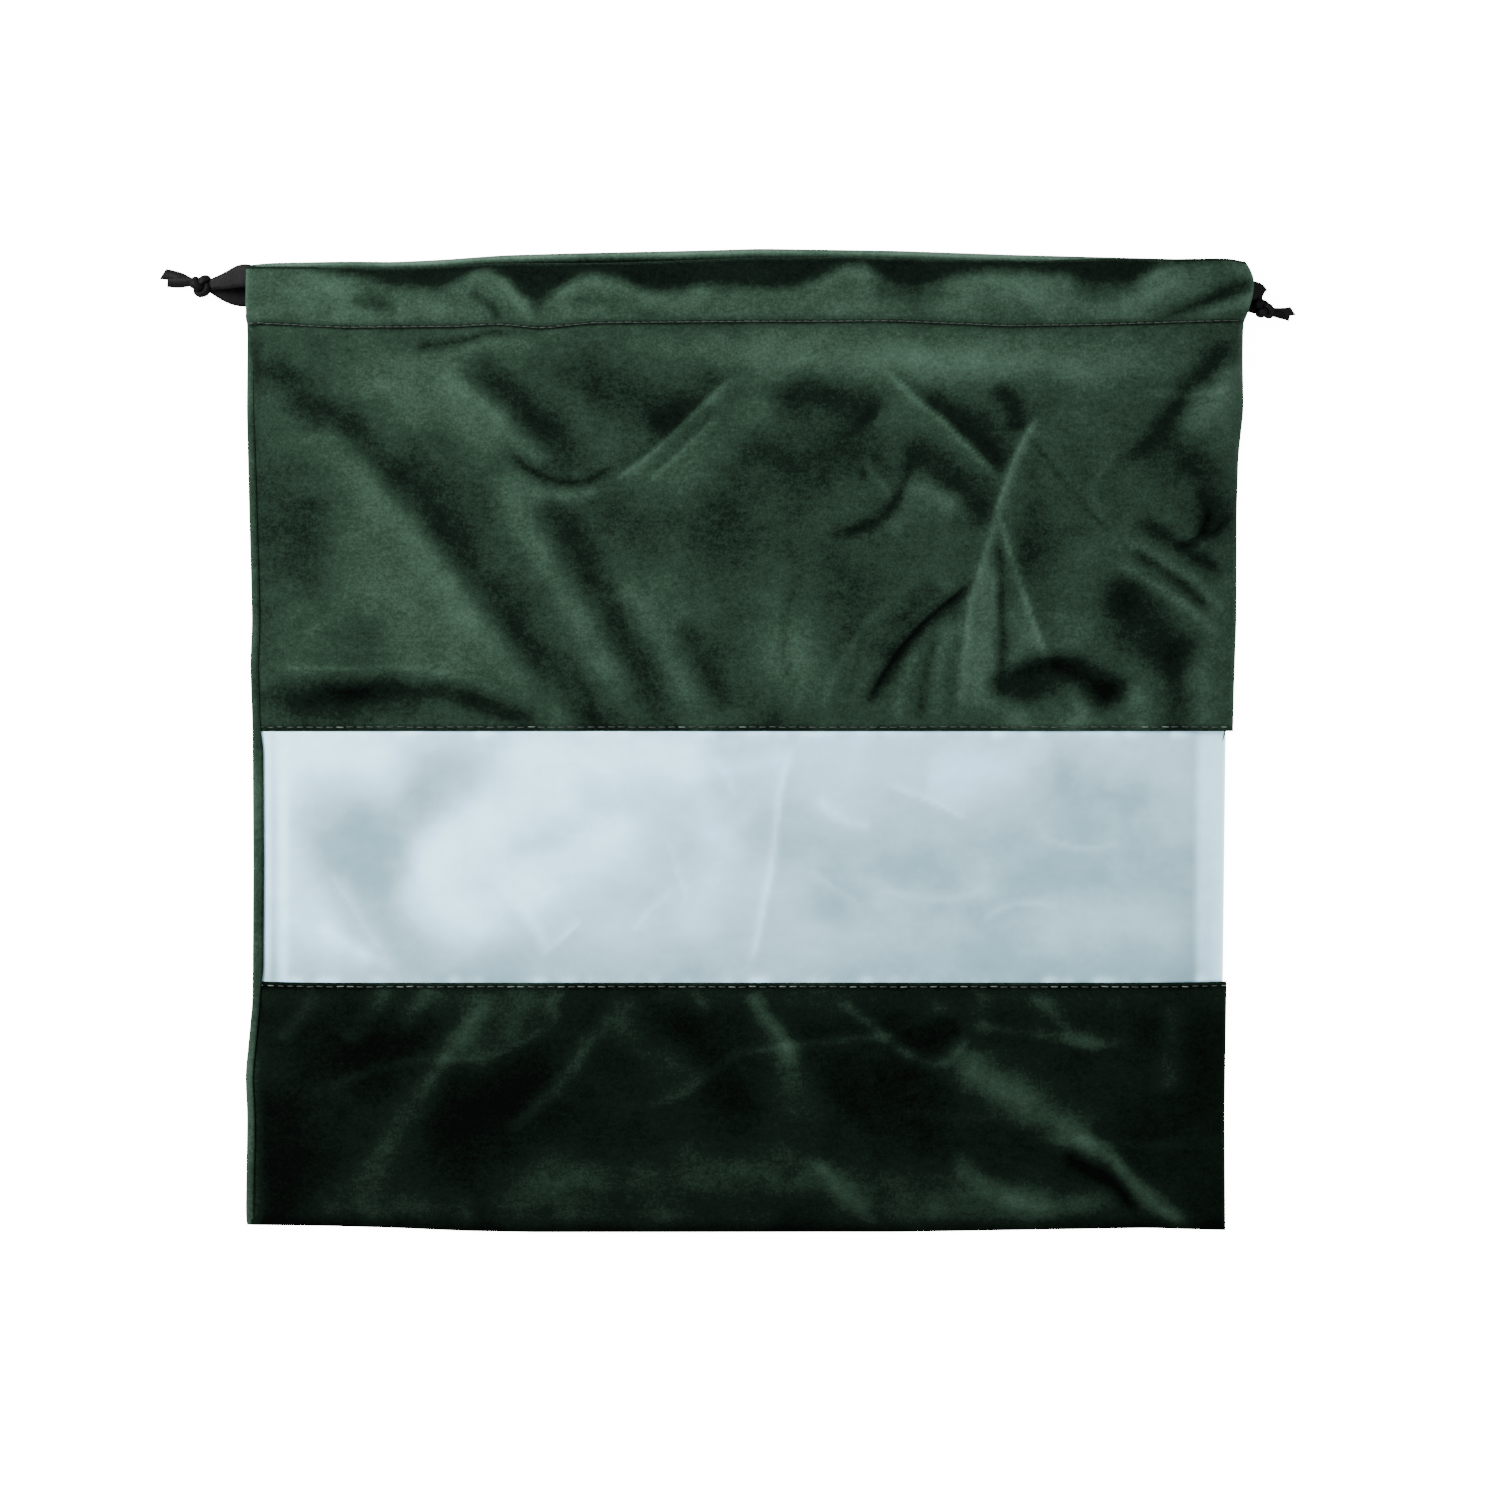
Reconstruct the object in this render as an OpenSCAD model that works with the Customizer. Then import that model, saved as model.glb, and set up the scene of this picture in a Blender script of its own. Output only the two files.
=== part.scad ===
// Velvet drawstring sack with a film window across its front.
// It lies empty on its back, mouth towards +Y, front face up (+Z).
// The origin is the middle of the back cloth's underside.

/* [Sack] */
// Width across the side seams
sack_w = 400; // [320:10:500]
// Thickness of the velvet with its pile
cloth_t = 0.9; // [0.7:0.1:1.0]
// Height of the front cloth's underside above the table
loft = 10.1; // [9.8:0.1:13]
// Distance from a seam over which the front rises to its full height
ease_w = 50; // [40:5:60]

/* [Bands of the front] */
// Height of the velvet band below the window
lower_h = 98; // [80:1:130]
// Height of the film that shows
window_h = 100; // [60:1:140]
// Height of the velvet band from the window to the casing stitching
upper_h = 164; // [130:1:200]
// Height of the casing, from its stitching to the front's mouth edge
casing_h = 23; // [23:1:30]
// How far the back's mouth edge stands past the front's
back_rise = 4; // [2:1:8]

/* [Window] */
// Thickness of the film
film_t = 0.4; // [0.2:0.1:0.5]
// Width of the film's edge that is sewn under the velvet
film_turn = 8; // [6:1:10]

/* [Casings] */
// Free height inside a casing
casing_gap = 1.2; // [1.0:0.1:1.4]
// How far a casing's inner flap stops short of the sack's side
flap_inset = 5.5; // [5.5:0.5:8]

/* [Drawstrings] */
// Width of the ribbon where it leaves a casing
ribbon_w = 9; // [7:0.5:9]
// Width of the ribbon where it lies bunched inside a casing
bunched_w = 4.2; // [3:0.1:4.2]
// Thickness of the ribbon
ribbon_t = 0.5; // [0.3:0.1:0.6]
// Radius of a knot
knot_r = 4; // [3.8:0.1:4.5]
// Distance from the sack's side to the middle of the left knot
left_reach = 17; // [14:1:30]
// Distance from the sack's side to the middle of the right knot
right_reach = 8.5; // [8.5:0.5:30]
// Length of the ribbon's longer end past the left knot
left_tail_l = 13; // [8:1:20]
// Length of the ribbon's longer end past the right knot
right_tail_l = 9; // [8:1:20]
// Turn of the left tails towards the mouth
left_tail_turn = 22; // [-30:1:30]
// Turn of the right tails towards the mouth
right_tail_turn = -16; // [-30:1:30]

/* [Seams] */
// Width of a turned-in seam edge
seam_w = 10; // [8:1:10]
// Thickness of a turned-in seam edge, both layers pressed together
seam_t = 1.3; // [1.0:0.1:1.4]
// Width of a row of stitching
thread_w = 0.6; // [0.4:0.1:0.8]
// Height of a row of stitching
thread_t = 0.4; // [0.3:0.1:0.5]

/* [Hidden] */
$fn = 32;

half_w = sack_w / 2;
sack_h = lower_h + window_h + upper_h + casing_h + back_rise;
bottom_y = -sack_h / 2;
window_y0 = bottom_y + lower_h;
window_y1 = window_y0 + window_h;
stitch_y = window_y1 + upper_h;
mouth_y = stitch_y + casing_h;
back_y = mouth_y + back_rise;

// Heights of the casings' inner flaps and of the ribbon runs inside them
back_flap_z = cloth_t + casing_gap;
front_flap_z = loft - casing_gap - cloth_t;
low_run_z = cloth_t + casing_gap / 2;
high_run_z = loft - casing_gap / 2;
bight_r = (high_run_z - low_run_z) / 2;

// The ribbons leave the casings one above the other, and lie side by side inside them
lane_gap = 0.4;
left_exit_in = 4.6;
right_exit_in = 2.5;
left_exit_y = mouth_y - left_exit_in - ribbon_w / 2;
right_exit_y = stitch_y + right_exit_in + ribbon_w / 2;
lower_lane_y = stitch_y + thread_w + lane_gap + bunched_w / 2;
upper_lane_y = lower_lane_y + bunched_w + lane_gap;
bight_lane_y = right_exit_y + ribbon_w / 2 + 1 + bunched_w / 2;

// Each ribbon's run from its own exit at -X to its bight: [x, y, width]
left_route = [
    [-half_w, left_exit_y, ribbon_w],
    [35 - half_w, upper_lane_y, bunched_w],
    [half_w - 100, upper_lane_y, bunched_w],
    [half_w - 50, bight_lane_y, bunched_w]
];
right_route = [
    [-half_w, right_exit_y, ribbon_w],
    [35 - half_w, lower_lane_y, bunched_w]
];

// The sides steepen towards the mouth, where the casings' ends stay open
steepen_from_y = 60;
mouth_ease_w = 9;
film_inset = 1.2;
film_clear = 0.05;
stitch_in = 1.6;
grid_step = 14;
side_steps = 8;

velvet = [0.16, 0.27, 0.21];
velvet_dark = [0.07, 0.12, 0.09];
film = [0.76, 0.84, 0.87, 0.8];
thread = [0.10, 0.17, 0.13];
black = [0.08, 0.08, 0.09];

function clamp01(s) = max(0, min(1, s));
function ease(s) = 1 - pow(1 - clamp01(s), 3);
function blend(a, b, s) = a + (b - a) * pow(clamp01(s), 2) * (3 - 2 * clamp01(s));
function side_ease_w(y) =
    blend(ease_w, mouth_ease_w, (y - steepen_from_y) / (stitch_y - steepen_from_y));

// Height of the front cloth's underside over the table
function under(x, y) =
    cloth_t + (loft - cloth_t)
    * ease((half_w - abs(x)) / side_ease_w(y))
    * ease((y - bottom_y) / ease_w);

function side_xs(reach) = [for (i = [0:side_steps]) reach - ease_w * i / side_steps];
function mid_xs(reach) =
    let (n = ceil(2 * (reach - ease_w) / grid_step / 2))
    [for (i = [1:n - 1]) (reach - ease_w) * (1 - 2 * i / n)];
function xs_across(reach) =
    let (right = side_xs(reach), left = [for (i = [side_steps:-1:0]) -right[i]])
    [for (x = concat(right, mid_xs(reach), left)) -x];
function ys_along(y0, y1) =
    let (n = max(1, ceil((y1 - y0) / grid_step)))
    [for (j = [0:n]) y0 + (y1 - y0) * j / n];

// A closed solid between two stacks of rings or rows: each quad as two triangles
function quads(a, b, c, d) = [[a, b, c], [a, c, d]];

// Cloth or film that follows the front's surface, lift above its underside
module front_sheet(y0, y1, lift, t, reach) {
    xs = xs_across(reach);
    ys = ys_along(y0, y1);
    nx = len(xs);
    ny = len(ys);
    low = nx * ny;
    polyhedron(
        points = [
            for (z = [lift + t, lift]) for (y = ys) for (x = xs) [x, y, under(x, y) + z]
        ],
        faces = [
            for (j = [0:ny - 2]) for (i = [0:nx - 2])
                let (a = j * nx + i)
                each concat(
                    quads(a, a + nx, a + nx + 1, a + 1),
                    quads(low + a, low + a + 1, low + a + nx + 1, low + a + nx)
                ),
            for (i = [0:nx - 2])
                let (a = i, b = (ny - 1) * nx + i)
                each concat(
                    quads(a, a + 1, low + a + 1, low + a),
                    quads(b + 1, b, low + b, low + b + 1)
                ),
            for (j = [0:ny - 2])
                let (a = j * nx, b = j * nx + nx - 1)
                each concat(
                    quads(a + nx, a, low + a, low + a + nx),
                    quads(b, b + nx, low + b + nx, low + b)
                )
        ]
    );
}

// Direction across a strip's thickness at station i, in the XZ plane
function strip_normal(s, i) =
    let (
        a = s[max(0, i - 1)],
        b = s[min(len(s) - 1, i + 1)],
        l = norm([b[0] - a[0], b[2] - a[2]])
    )
    [-(b[2] - a[2]) / l, 0, (b[0] - a[0]) / l];

// A flat ribbon through stations of [x, y, z, width, thickness], its width along Y
module strip(s) {
    last = 4 * (len(s) - 1);
    polyhedron(
        points = [
            for (i = [0:len(s) - 1])
                let (n = strip_normal(s, i), p = [s[i][0], s[i][1], s[i][2]])
                for (c = [[-1, -1], [1, -1], [1, 1], [-1, 1]])
                    p + [0, c[0] * s[i][3] / 2, 0] + n * c[1] * s[i][4] / 2
        ],
        faces = [
            for (i = [0:len(s) - 2]) for (k = [0:3])
                let (a = 4 * i + k, b = 4 * i + (k + 1) % 4)
                each quads(a, b, b + 4, a + 4),
            [3, 2, 1], [3, 1, 0],
            [last, last + 1, last + 2], [last, last + 2, last + 3]
        ]
    );
}

module back_panel() {
    color(velvet)
        translate([-half_w, bottom_y, 0])
            cube([sack_w, sack_h, cloth_t]);
}

module front_upper_panel() {
    color(velvet) union() {
        front_sheet(window_y1, stitch_y, 0, cloth_t, half_w);
        translate([-half_w, stitch_y, loft])
            cube([sack_w, casing_h, cloth_t]);
    }
}

module window_film() {
    color(film)
        front_sheet(
            window_y0 - film_turn, window_y1 + film_turn,
            -film_t - film_clear, film_t, half_w - film_inset
        );
}

module front_lower_panel() {
    color(velvet_dark) front_sheet(bottom_y, window_y0, 0, cloth_t, half_w);
}

// The hem turned inside: its flap lies along the casing, and its fold is the mouth's edge
flap_w = sack_w - 2 * flap_inset;

module casing_flap(end_y, z) {
    color(velvet)
        translate([-flap_w / 2, stitch_y, z])
            cube([flap_w, end_y - stitch_y, cloth_t]);
}

module casing_fold(end_y, z) {
    color(velvet)
        translate([-flap_w / 2, end_y - cloth_t, z])
            cube([flap_w, cloth_t, casing_gap]);
}

// A side's turned-in edge lies inside on the back cloth
seam_out = 4;
seam_low_y = bottom_y + 32;
seam_high_y = stitch_y - 4;

module side_seam_edge(side) {
    color(velvet_dark)
        translate([side * (half_w - seam_out - seam_w / 2), seam_low_y, cloth_t])
            translate([-seam_w / 2, 0, 0])
                cube([seam_w, seam_high_y - seam_low_y, seam_t]);
}

module bottom_seam_edge() {
    bottom_seam_w = sack_w - 2 * ease_w;
    color(velvet_dark)
        translate([-bottom_seam_w / 2, bottom_y + seam_out, cloth_t])
            cube([bottom_seam_w, seam_w, seam_t]);
}

// A casing's stitching: the row that shows, and the thread between the two layers
module casing_stitching(row_z, inner_z, row_w) {
    color(thread) {
        translate([-row_w / 2, stitch_y, row_z]) cube([row_w, thread_w, thread_t]);
        translate([-flap_w / 2, stitch_y, inner_z]) cube([flap_w, thread_w, casing_gap]);
    }
}

module window_stitching(y) {
    color(thread)
        front_sheet(y - thread_w / 2, y + thread_w / 2, cloth_t, thread_t, half_w - stitch_in);
}

module side_seam_stitching(side) {
    color(thread)
        translate([side * (half_w - seam_out - stitch_in), seam_low_y, cloth_t + seam_t])
            translate([-thread_w / 2, 0, 0])
                cube([thread_w, seam_high_y - seam_low_y, thread_t / 2]);
}

module bottom_seam_stitching() {
    bottom_seam_w = sack_w - 2 * ease_w;
    color(thread)
        translate([-bottom_seam_w / 2, bottom_y + seam_out + stitch_in, cloth_t + seam_t])
            cube([bottom_seam_w, thread_w, thread_t / 2]);
}

// A drawstring loop that comes out at -X: both runs, the bight at +X, and the fan to its knot
bight_steps = 12;
knot_neck_w = 4.5;
knot_neck_t = 1.4;
neck_z = 1;
fan_l = 5;

module drawstring(route, reach, knot_y) {
    bight_x = half_w - flap_inset + 0.5;
    neck_x = -half_w - reach + knot_r - 1;
    turn_x = max(-half_w - fan_l, neck_x + 2);
    exit_y = route[0][1];
    bight_y = route[len(route) - 1][1];
    color(black) strip([
        [neck_x, knot_y, knot_r - neck_z, knot_neck_w, knot_neck_t],
        [turn_x, (exit_y + knot_y) / 2, low_run_z + 1, ribbon_w - 1.5, ribbon_t + 0.3],
        for (p = route) [p[0], p[1], low_run_z, p[2], ribbon_t],
        for (i = [0:bight_steps])
            let (a = 180 * i / bight_steps)
            [
                bight_x + bight_r * sin(a), bight_y, low_run_z + bight_r * (1 - cos(a)),
                bunched_w, ribbon_t
            ],
        for (i = [len(route) - 1:-1:0])
            [route[i][0], route[i][1], high_run_z, route[i][2], ribbon_t],
        [turn_x, (exit_y + knot_y) / 2, high_run_z - 1, ribbon_w - 1.5, ribbon_t + 0.3],
        [neck_x, knot_y, knot_r + neck_z, knot_neck_w, knot_neck_t]
    ]);
}

// An overhand knot: a tight ball of ribbon with one turn standing proud
module knot(reach, knot_y) {
    turn_r = 1.5;
    color(black)
        translate([-half_w - reach, knot_y, knot_r]) {
            sphere(r = knot_r - 0.4);
            rotate([0, 70, 20])
                rotate_extrude() translate([knot_r - turn_r - 0.1, 0]) circle(r = turn_r);
        }
}

// The ribbon's two ends past the knot
module tails(reach, knot_y, turn, tail_l) {
    tail_w = 4.2;
    tail_t = 1.1;
    end_z = tail_t / 2 + 0.1;
    root_x = -half_w - reach - knot_r + 1.2;
    color(black)
        for (end = [0, 1]) {
            a = turn + (end == 0 ? 7 : -9);
            run = tail_l - 3 * end;
            z = knot_r - 1.5 + 1.7 * end;
            strip([
                [root_x, knot_y, z, tail_w - 1.4, tail_t],
                [
                    root_x - run / 2 * cos(a), knot_y + run / 2 * sin(a),
                    end_z + (z - end_z) / 2 + 0.8 * end, tail_w - 0.6, tail_t
                ],
                [
                    root_x - run * cos(a), knot_y + run * sin(a),
                    end_z + 2.4 * end, tail_w, tail_t
                ]
            ]);
        }
}

right_knot_drop = 1.5;
left_knot_y = left_exit_y;
right_knot_y = right_exit_y - right_knot_drop;

module left_drawstring() drawstring(left_route, left_reach, left_knot_y);
module left_knot() knot(left_reach, left_knot_y);
module left_tails() tails(left_reach, left_knot_y, left_tail_turn, left_tail_l);
module right_drawstring()
    mirror([1, 0, 0]) drawstring(right_route, right_reach, right_knot_y);
module right_knot() mirror([1, 0, 0]) knot(right_reach, right_knot_y);
module right_tails()
    mirror([1, 0, 0])
        tails(right_reach, right_knot_y, right_tail_turn, right_tail_l);

back_panel();
front_upper_panel();
window_film();
front_lower_panel();
casing_flap(mouth_y, front_flap_z);  // front_casing_flap
casing_flap(back_y, back_flap_z);  // back_casing_flap
casing_fold(mouth_y, front_flap_z + cloth_t);  // front_casing_fold
casing_fold(back_y, cloth_t);  // back_casing_fold
side_seam_edge(-1);  // left_seam_edge
side_seam_edge(1);  // right_seam_edge
bottom_seam_edge();
casing_stitching(loft + cloth_t, front_flap_z + cloth_t, sack_w - 2 * mouth_ease_w);  // front_casing_stitching
casing_stitching(back_flap_z + cloth_t, cloth_t, flap_w);  // back_casing_stitching
window_stitching(window_y1 + stitch_in);  // window_top_stitching
window_stitching(window_y0 - stitch_in);  // window_bottom_stitching
side_seam_stitching(-1);  // left_seam_stitching
side_seam_stitching(1);  // right_seam_stitching
bottom_seam_stitching();
left_drawstring();
left_knot();
left_tails();
right_drawstring();
right_knot();
right_tails();
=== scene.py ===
"""A velvet drawstring sack with a window of clouded film, lying empty on its back."""

import math
import random

import bpy
import numpy as np
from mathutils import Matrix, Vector, noise


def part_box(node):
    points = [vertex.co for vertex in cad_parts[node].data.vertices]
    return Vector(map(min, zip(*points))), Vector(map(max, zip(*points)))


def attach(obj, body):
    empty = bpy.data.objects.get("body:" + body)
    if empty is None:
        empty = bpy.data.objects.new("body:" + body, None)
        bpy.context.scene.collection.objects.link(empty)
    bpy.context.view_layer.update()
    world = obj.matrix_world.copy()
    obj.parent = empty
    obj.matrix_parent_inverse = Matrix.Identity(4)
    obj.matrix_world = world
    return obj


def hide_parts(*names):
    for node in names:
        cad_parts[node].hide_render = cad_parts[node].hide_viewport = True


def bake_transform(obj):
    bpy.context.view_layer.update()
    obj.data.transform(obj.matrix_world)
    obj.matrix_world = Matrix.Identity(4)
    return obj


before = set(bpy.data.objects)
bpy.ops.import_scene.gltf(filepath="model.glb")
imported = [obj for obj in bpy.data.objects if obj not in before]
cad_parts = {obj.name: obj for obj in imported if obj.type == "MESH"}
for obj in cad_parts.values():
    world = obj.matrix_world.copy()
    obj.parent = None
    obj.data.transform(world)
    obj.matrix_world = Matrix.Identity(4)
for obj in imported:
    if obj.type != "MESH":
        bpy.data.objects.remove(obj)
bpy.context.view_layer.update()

MM = 0.001


# ---------------------------------------------------------------- sizes, in millimetres, from the frame


def box_mm(node):
    low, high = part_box(node)
    return [v / MM for v in low], [v / MM for v in high]


back_low, back_high = box_mm("back_panel")
upper_low, upper_high = box_mm("front_upper_panel")
_, lower_high = box_mm("front_lower_panel")
film_low, film_high = box_mm("window_film")
flap_low, _ = box_mm("front_casing_flap")
_, back_flap_high = box_mm("back_casing_flap")
seam_low, seam_high = box_mm("left_seam_edge")

HALF_W = back_high[0]
BOTTOM_Y, BACK_Y = back_low[1], back_high[1]
CLOTH_T = back_high[2]
WINDOW_Y0, WINDOW_Y1 = lower_high[1], upper_low[1]
STITCH_Y = flap_low[1]
MOUTH_Y = upper_high[1]
LOFT = upper_high[2] - CLOTH_T
FILM_T = 0.4

# How the front rises from its seams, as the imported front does
EASE_W, MOUTH_EASE_W, STEEPEN_FROM_Y = 50, 9, 60

# A hem's two layers lie this far apart, middle to middle
HEM_GAP = upper_high[2] - flap_low[2] - CLOTH_T

# Steps of the velvet's and the film's grids, and radii of a panel's rounded sides and ends
GRID, FILM_GRID = 1.35, 1.5
SIDE_R, END_R = 0.9, 0.8

# How far a row of stitches lies from its panel's edge, and a side seam's from the side
ROW_IN, SEAM_IN = 1.6, 5.6


# ---------------------------------------------------------------- camera, floor and light

# The camera looks straight down on a square of this width, in metres, through a lens in millimetres
VIEW_W = 0.6
LENS = 85
SENSOR = 36
VIEW_CENTRE = (0.002, -0.004)
VIEW_Z = 0.0015

FLOOR_W = 40
FLOOR_Z = -0.0004
FLOOR_GLOW = 14
WORLD_LIGHT = 1.24


def make_camera():
    data = bpy.data.cameras.new("camera")
    data.lens = LENS
    data.sensor_width = SENSOR
    camera = bpy.data.objects.new("camera", data)
    camera.location = (*VIEW_CENTRE, VIEW_Z + VIEW_W * LENS / SENSOR)
    bpy.context.scene.collection.objects.link(camera)
    bpy.context.scene.camera = camera


def make_area_light(name, place, size, energy):
    data = bpy.data.lights.new(name, "AREA")
    data.shape = "RECTANGLE"
    data.size, data.size_y = size
    data.energy = energy
    light = bpy.data.objects.new(name, data)
    light.location = place
    light.rotation_euler = (-Vector(place)).to_track_quat("-Z", "Y").to_euler()
    bpy.context.scene.collection.objects.link(light)


def make_world(strength):
    world = bpy.data.worlds.new("studio")
    world.use_nodes = True
    background = world.node_tree.nodes["Background"]
    background.inputs["Color"].default_value = (1, 1, 1, 1)
    background.inputs["Strength"].default_value = strength
    bpy.context.scene.world = world


def make_floor():
    """A white floor. Its own glow would light the object from below, so the object doesn't see it."""
    bpy.ops.mesh.primitive_plane_add(size=FLOOR_W, location=(0, 0, FLOOR_Z))
    floor = bpy.context.object
    floor.name = "floor"
    floor.visible_diffuse = False
    floor.visible_glossy = False
    material = bpy.data.materials.new("floor")
    material.use_nodes = True
    shader = material.node_tree.nodes["Principled BSDF"]
    shader.inputs["Base Color"].default_value = (0.9, 0.9, 0.9, 1)
    shader.inputs["Roughness"].default_value = 0.9
    shader.inputs["Emission Color"].default_value = (1, 1, 1, 1)
    shader.inputs["Emission Strength"].default_value = FLOOR_GLOW
    floor.data.materials.append(material)


make_camera()
make_world(WORLD_LIGHT)
make_area_light("key", (-0.75, 0.55, 0.85), (0.7, 0.7), 42)
make_area_light("fill", (0.9, -0.5, 1.1), (1.0, 1.0), 13)
make_floor()


# ---------------------------------------------------------------- materials


def node_of(tree, kind, **settings):
    made = tree.nodes.new(kind)
    for name, value in settings.items():
        setattr(made, name, value)
    return made


def new_material(name):
    material = bpy.data.materials.new(name)
    material.use_nodes = True
    return material, material.node_tree, material.node_tree.nodes["Principled BSDF"]


def grain(tree, scale, detail=2, stretch=(1, 1, 1)):
    """Noise of 0 to 1 in the object's own metres, squeezed by stretch along each axis."""
    place = node_of(tree, "ShaderNodeTexCoord")
    mapping = node_of(tree, "ShaderNodeMapping")
    mapping.inputs["Scale"].default_value = stretch
    made = node_of(tree, "ShaderNodeTexNoise")
    made.inputs["Scale"].default_value = scale
    made.inputs["Detail"].default_value = detail
    tree.links.new(place.outputs["Object"], mapping.inputs["Vector"])
    tree.links.new(mapping.outputs["Vector"], made.inputs["Vector"])
    return made.outputs["Fac"]


def maths(tree, operation, a, b):
    made = node_of(tree, "ShaderNodeMath", operation=operation)
    for socket, value in zip(made.inputs, (a, b), strict=False):
        if isinstance(value, (int, float)):
            socket.default_value = value
        else:
            tree.links.new(value, socket)
    return made.outputs[0]


def tone_of(tree, grains):
    """The painted tone plus noises of (scale, amount, stretch), brought from -1..1 to 0..1."""
    painted = node_of(tree, "ShaderNodeAttribute", attribute_name="tone")
    total = painted.outputs["Fac"]
    for scale, amount, stretch in grains:
        around_zero = maths(tree, "SUBTRACT", grain(tree, scale, 3, stretch), 0.5)
        total = maths(tree, "ADD", total, maths(tree, "MULTIPLY", around_zero, amount))
    return maths(tree, "MULTIPLY", maths(tree, "ADD", total, 1.0), 0.5)


def ramp(tree, value, stops):
    made = node_of(tree, "ShaderNodeValToRGB")
    points = made.color_ramp.elements
    while len(points) < len(stops):
        points.new(0.5)
    for point, (place, colour) in zip(points, stops, strict=True):
        point.position = place
        point.color = (*colour, 1)
    tree.links.new(value, made.inputs["Fac"])
    return made.outputs["Color"]


def bump(tree, shader, height, strength, distance):
    made = node_of(tree, "ShaderNodeBump")
    made.inputs["Strength"].default_value = strength
    made.inputs["Distance"].default_value = distance
    tree.links.new(height, made.inputs["Height"])
    tree.links.new(made.outputs["Normal"], shader.inputs["Normal"])


VELVET_STOPS = [
    (0.0, (0.0002, 0.0006, 0.0004)),
    (0.25, (0.0022, 0.0052, 0.0032)),
    (0.5, (0.0103, 0.0215, 0.0138)),
    (0.75, (0.0252, 0.0475, 0.0336)),
    (1.0, (0.0535, 0.0900, 0.0672)),
]


def velvet_material(name, sheen, uneven):
    material, tree, shader = new_material(name)
    grains = [
        (26, 0.35 * uneven, (1, 1, 1)),
        (110, 0.35 * uneven, (1, 1.4, 1)),
        (420, 0.5 * uneven, (1, 1.3, 1)),
        (1100, 0.7 * uneven, (1, 1, 1)),
    ]
    colour = ramp(tree, tone_of(tree, grains), VELVET_STOPS)
    tree.links.new(colour, shader.inputs["Base Color"])
    shader.inputs["Roughness"].default_value = 0.95
    shader.inputs["Specular IOR Level"].default_value = 0.023
    shader.inputs["Sheen Weight"].default_value = sheen
    shader.inputs["Sheen Roughness"].default_value = 0.35
    shader.inputs["Sheen Tint"].default_value = (0.28, 0.45, 0.36, 1)
    pile = maths(tree, "ADD", grain(tree, 2600, 2), grain(tree, 800, 2))
    bump(tree, shader, pile, 0.5, 0.0003)
    return material


def film_material():
    material, tree, shader = new_material("film")
    grains = [(18, 0.5, (1, 1, 1)), (70, 0.45, (1, 1.6, 1)), (300, 0.2, (1, 1, 1))]
    stops = [
        (0.0, (0.09, 0.18, 0.22)),
        (0.25, (0.155, 0.275, 0.325)),
        (0.5, (0.25, 0.415, 0.485)),
        (0.75, (0.345, 0.60, 0.78)),
        (1.0, (0.50, 0.87, 1.0)),
    ]
    tree.links.new(ramp(tree, tone_of(tree, grains), stops), shader.inputs["Base Color"])
    shader.inputs["Roughness"].default_value = 0.46
    shader.inputs["IOR"].default_value = 1.45
    shader.inputs["Specular IOR Level"].default_value = 0.23
    shader.inputs["Alpha"].default_value = 0.95
    bump(tree, shader, grain(tree, 90, 3), 0.12, 0.001)
    return material


def ribbon_material():
    material, tree, shader = new_material("ribbon")
    stops = [(0.3, (0.0014, 0.0013, 0.0016)), (0.7, (0.0040, 0.0037, 0.0043))]
    tree.links.new(ramp(tree, grain(tree, 900, 3), stops), shader.inputs["Base Color"])
    shader.inputs["Roughness"].default_value = 0.55
    shader.inputs["Specular IOR Level"].default_value = 0.055
    bump(tree, shader, grain(tree, 2200, 1, (1, 0.15, 1)), 0.5, 0.0002)
    return material


def thread_material():
    material, tree, shader = new_material("thread")
    stops = [(0.2, (0.002, 0.005, 0.004)), (0.6, (0.011, 0.020, 0.015)), (1.0, (0.065, 0.09, 0.075))]
    grains = [(1800, 0.3, (1, 1, 1))]
    tree.links.new(ramp(tree, tone_of(tree, grains), stops), shader.inputs["Base Color"])
    shader.inputs["Roughness"].default_value = 0.6
    return material


VELVET = velvet_material("velvet", 0.154, 1.0)
VELVET_LOWER = velvet_material("velvet_lower", 0.023, 0.8)
FILM = film_material()
RIBBON = ribbon_material()
THREAD = thread_material()


# ---------------------------------------------------------------- meshes


def new_object(name, vertices, faces, material):
    """An object from points in millimetres and faces, shaded smooth."""
    mesh = bpy.data.meshes.new(name)
    mesh.from_pydata((np.asarray(vertices) * MM).tolist(), [], faces)
    mesh.materials.append(material)
    mesh.polygons.foreach_set("use_smooth", [True] * len(mesh.polygons))
    mesh.update()
    made = bpy.data.objects.new(name, mesh)
    bpy.context.scene.collection.objects.link(made)
    return made


def set_tone(made, tone):
    attribute = made.data.attributes.new("tone", "FLOAT", "POINT")
    attribute.data.foreach_set("value", np.asarray(tone, np.float32).ravel())


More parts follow.
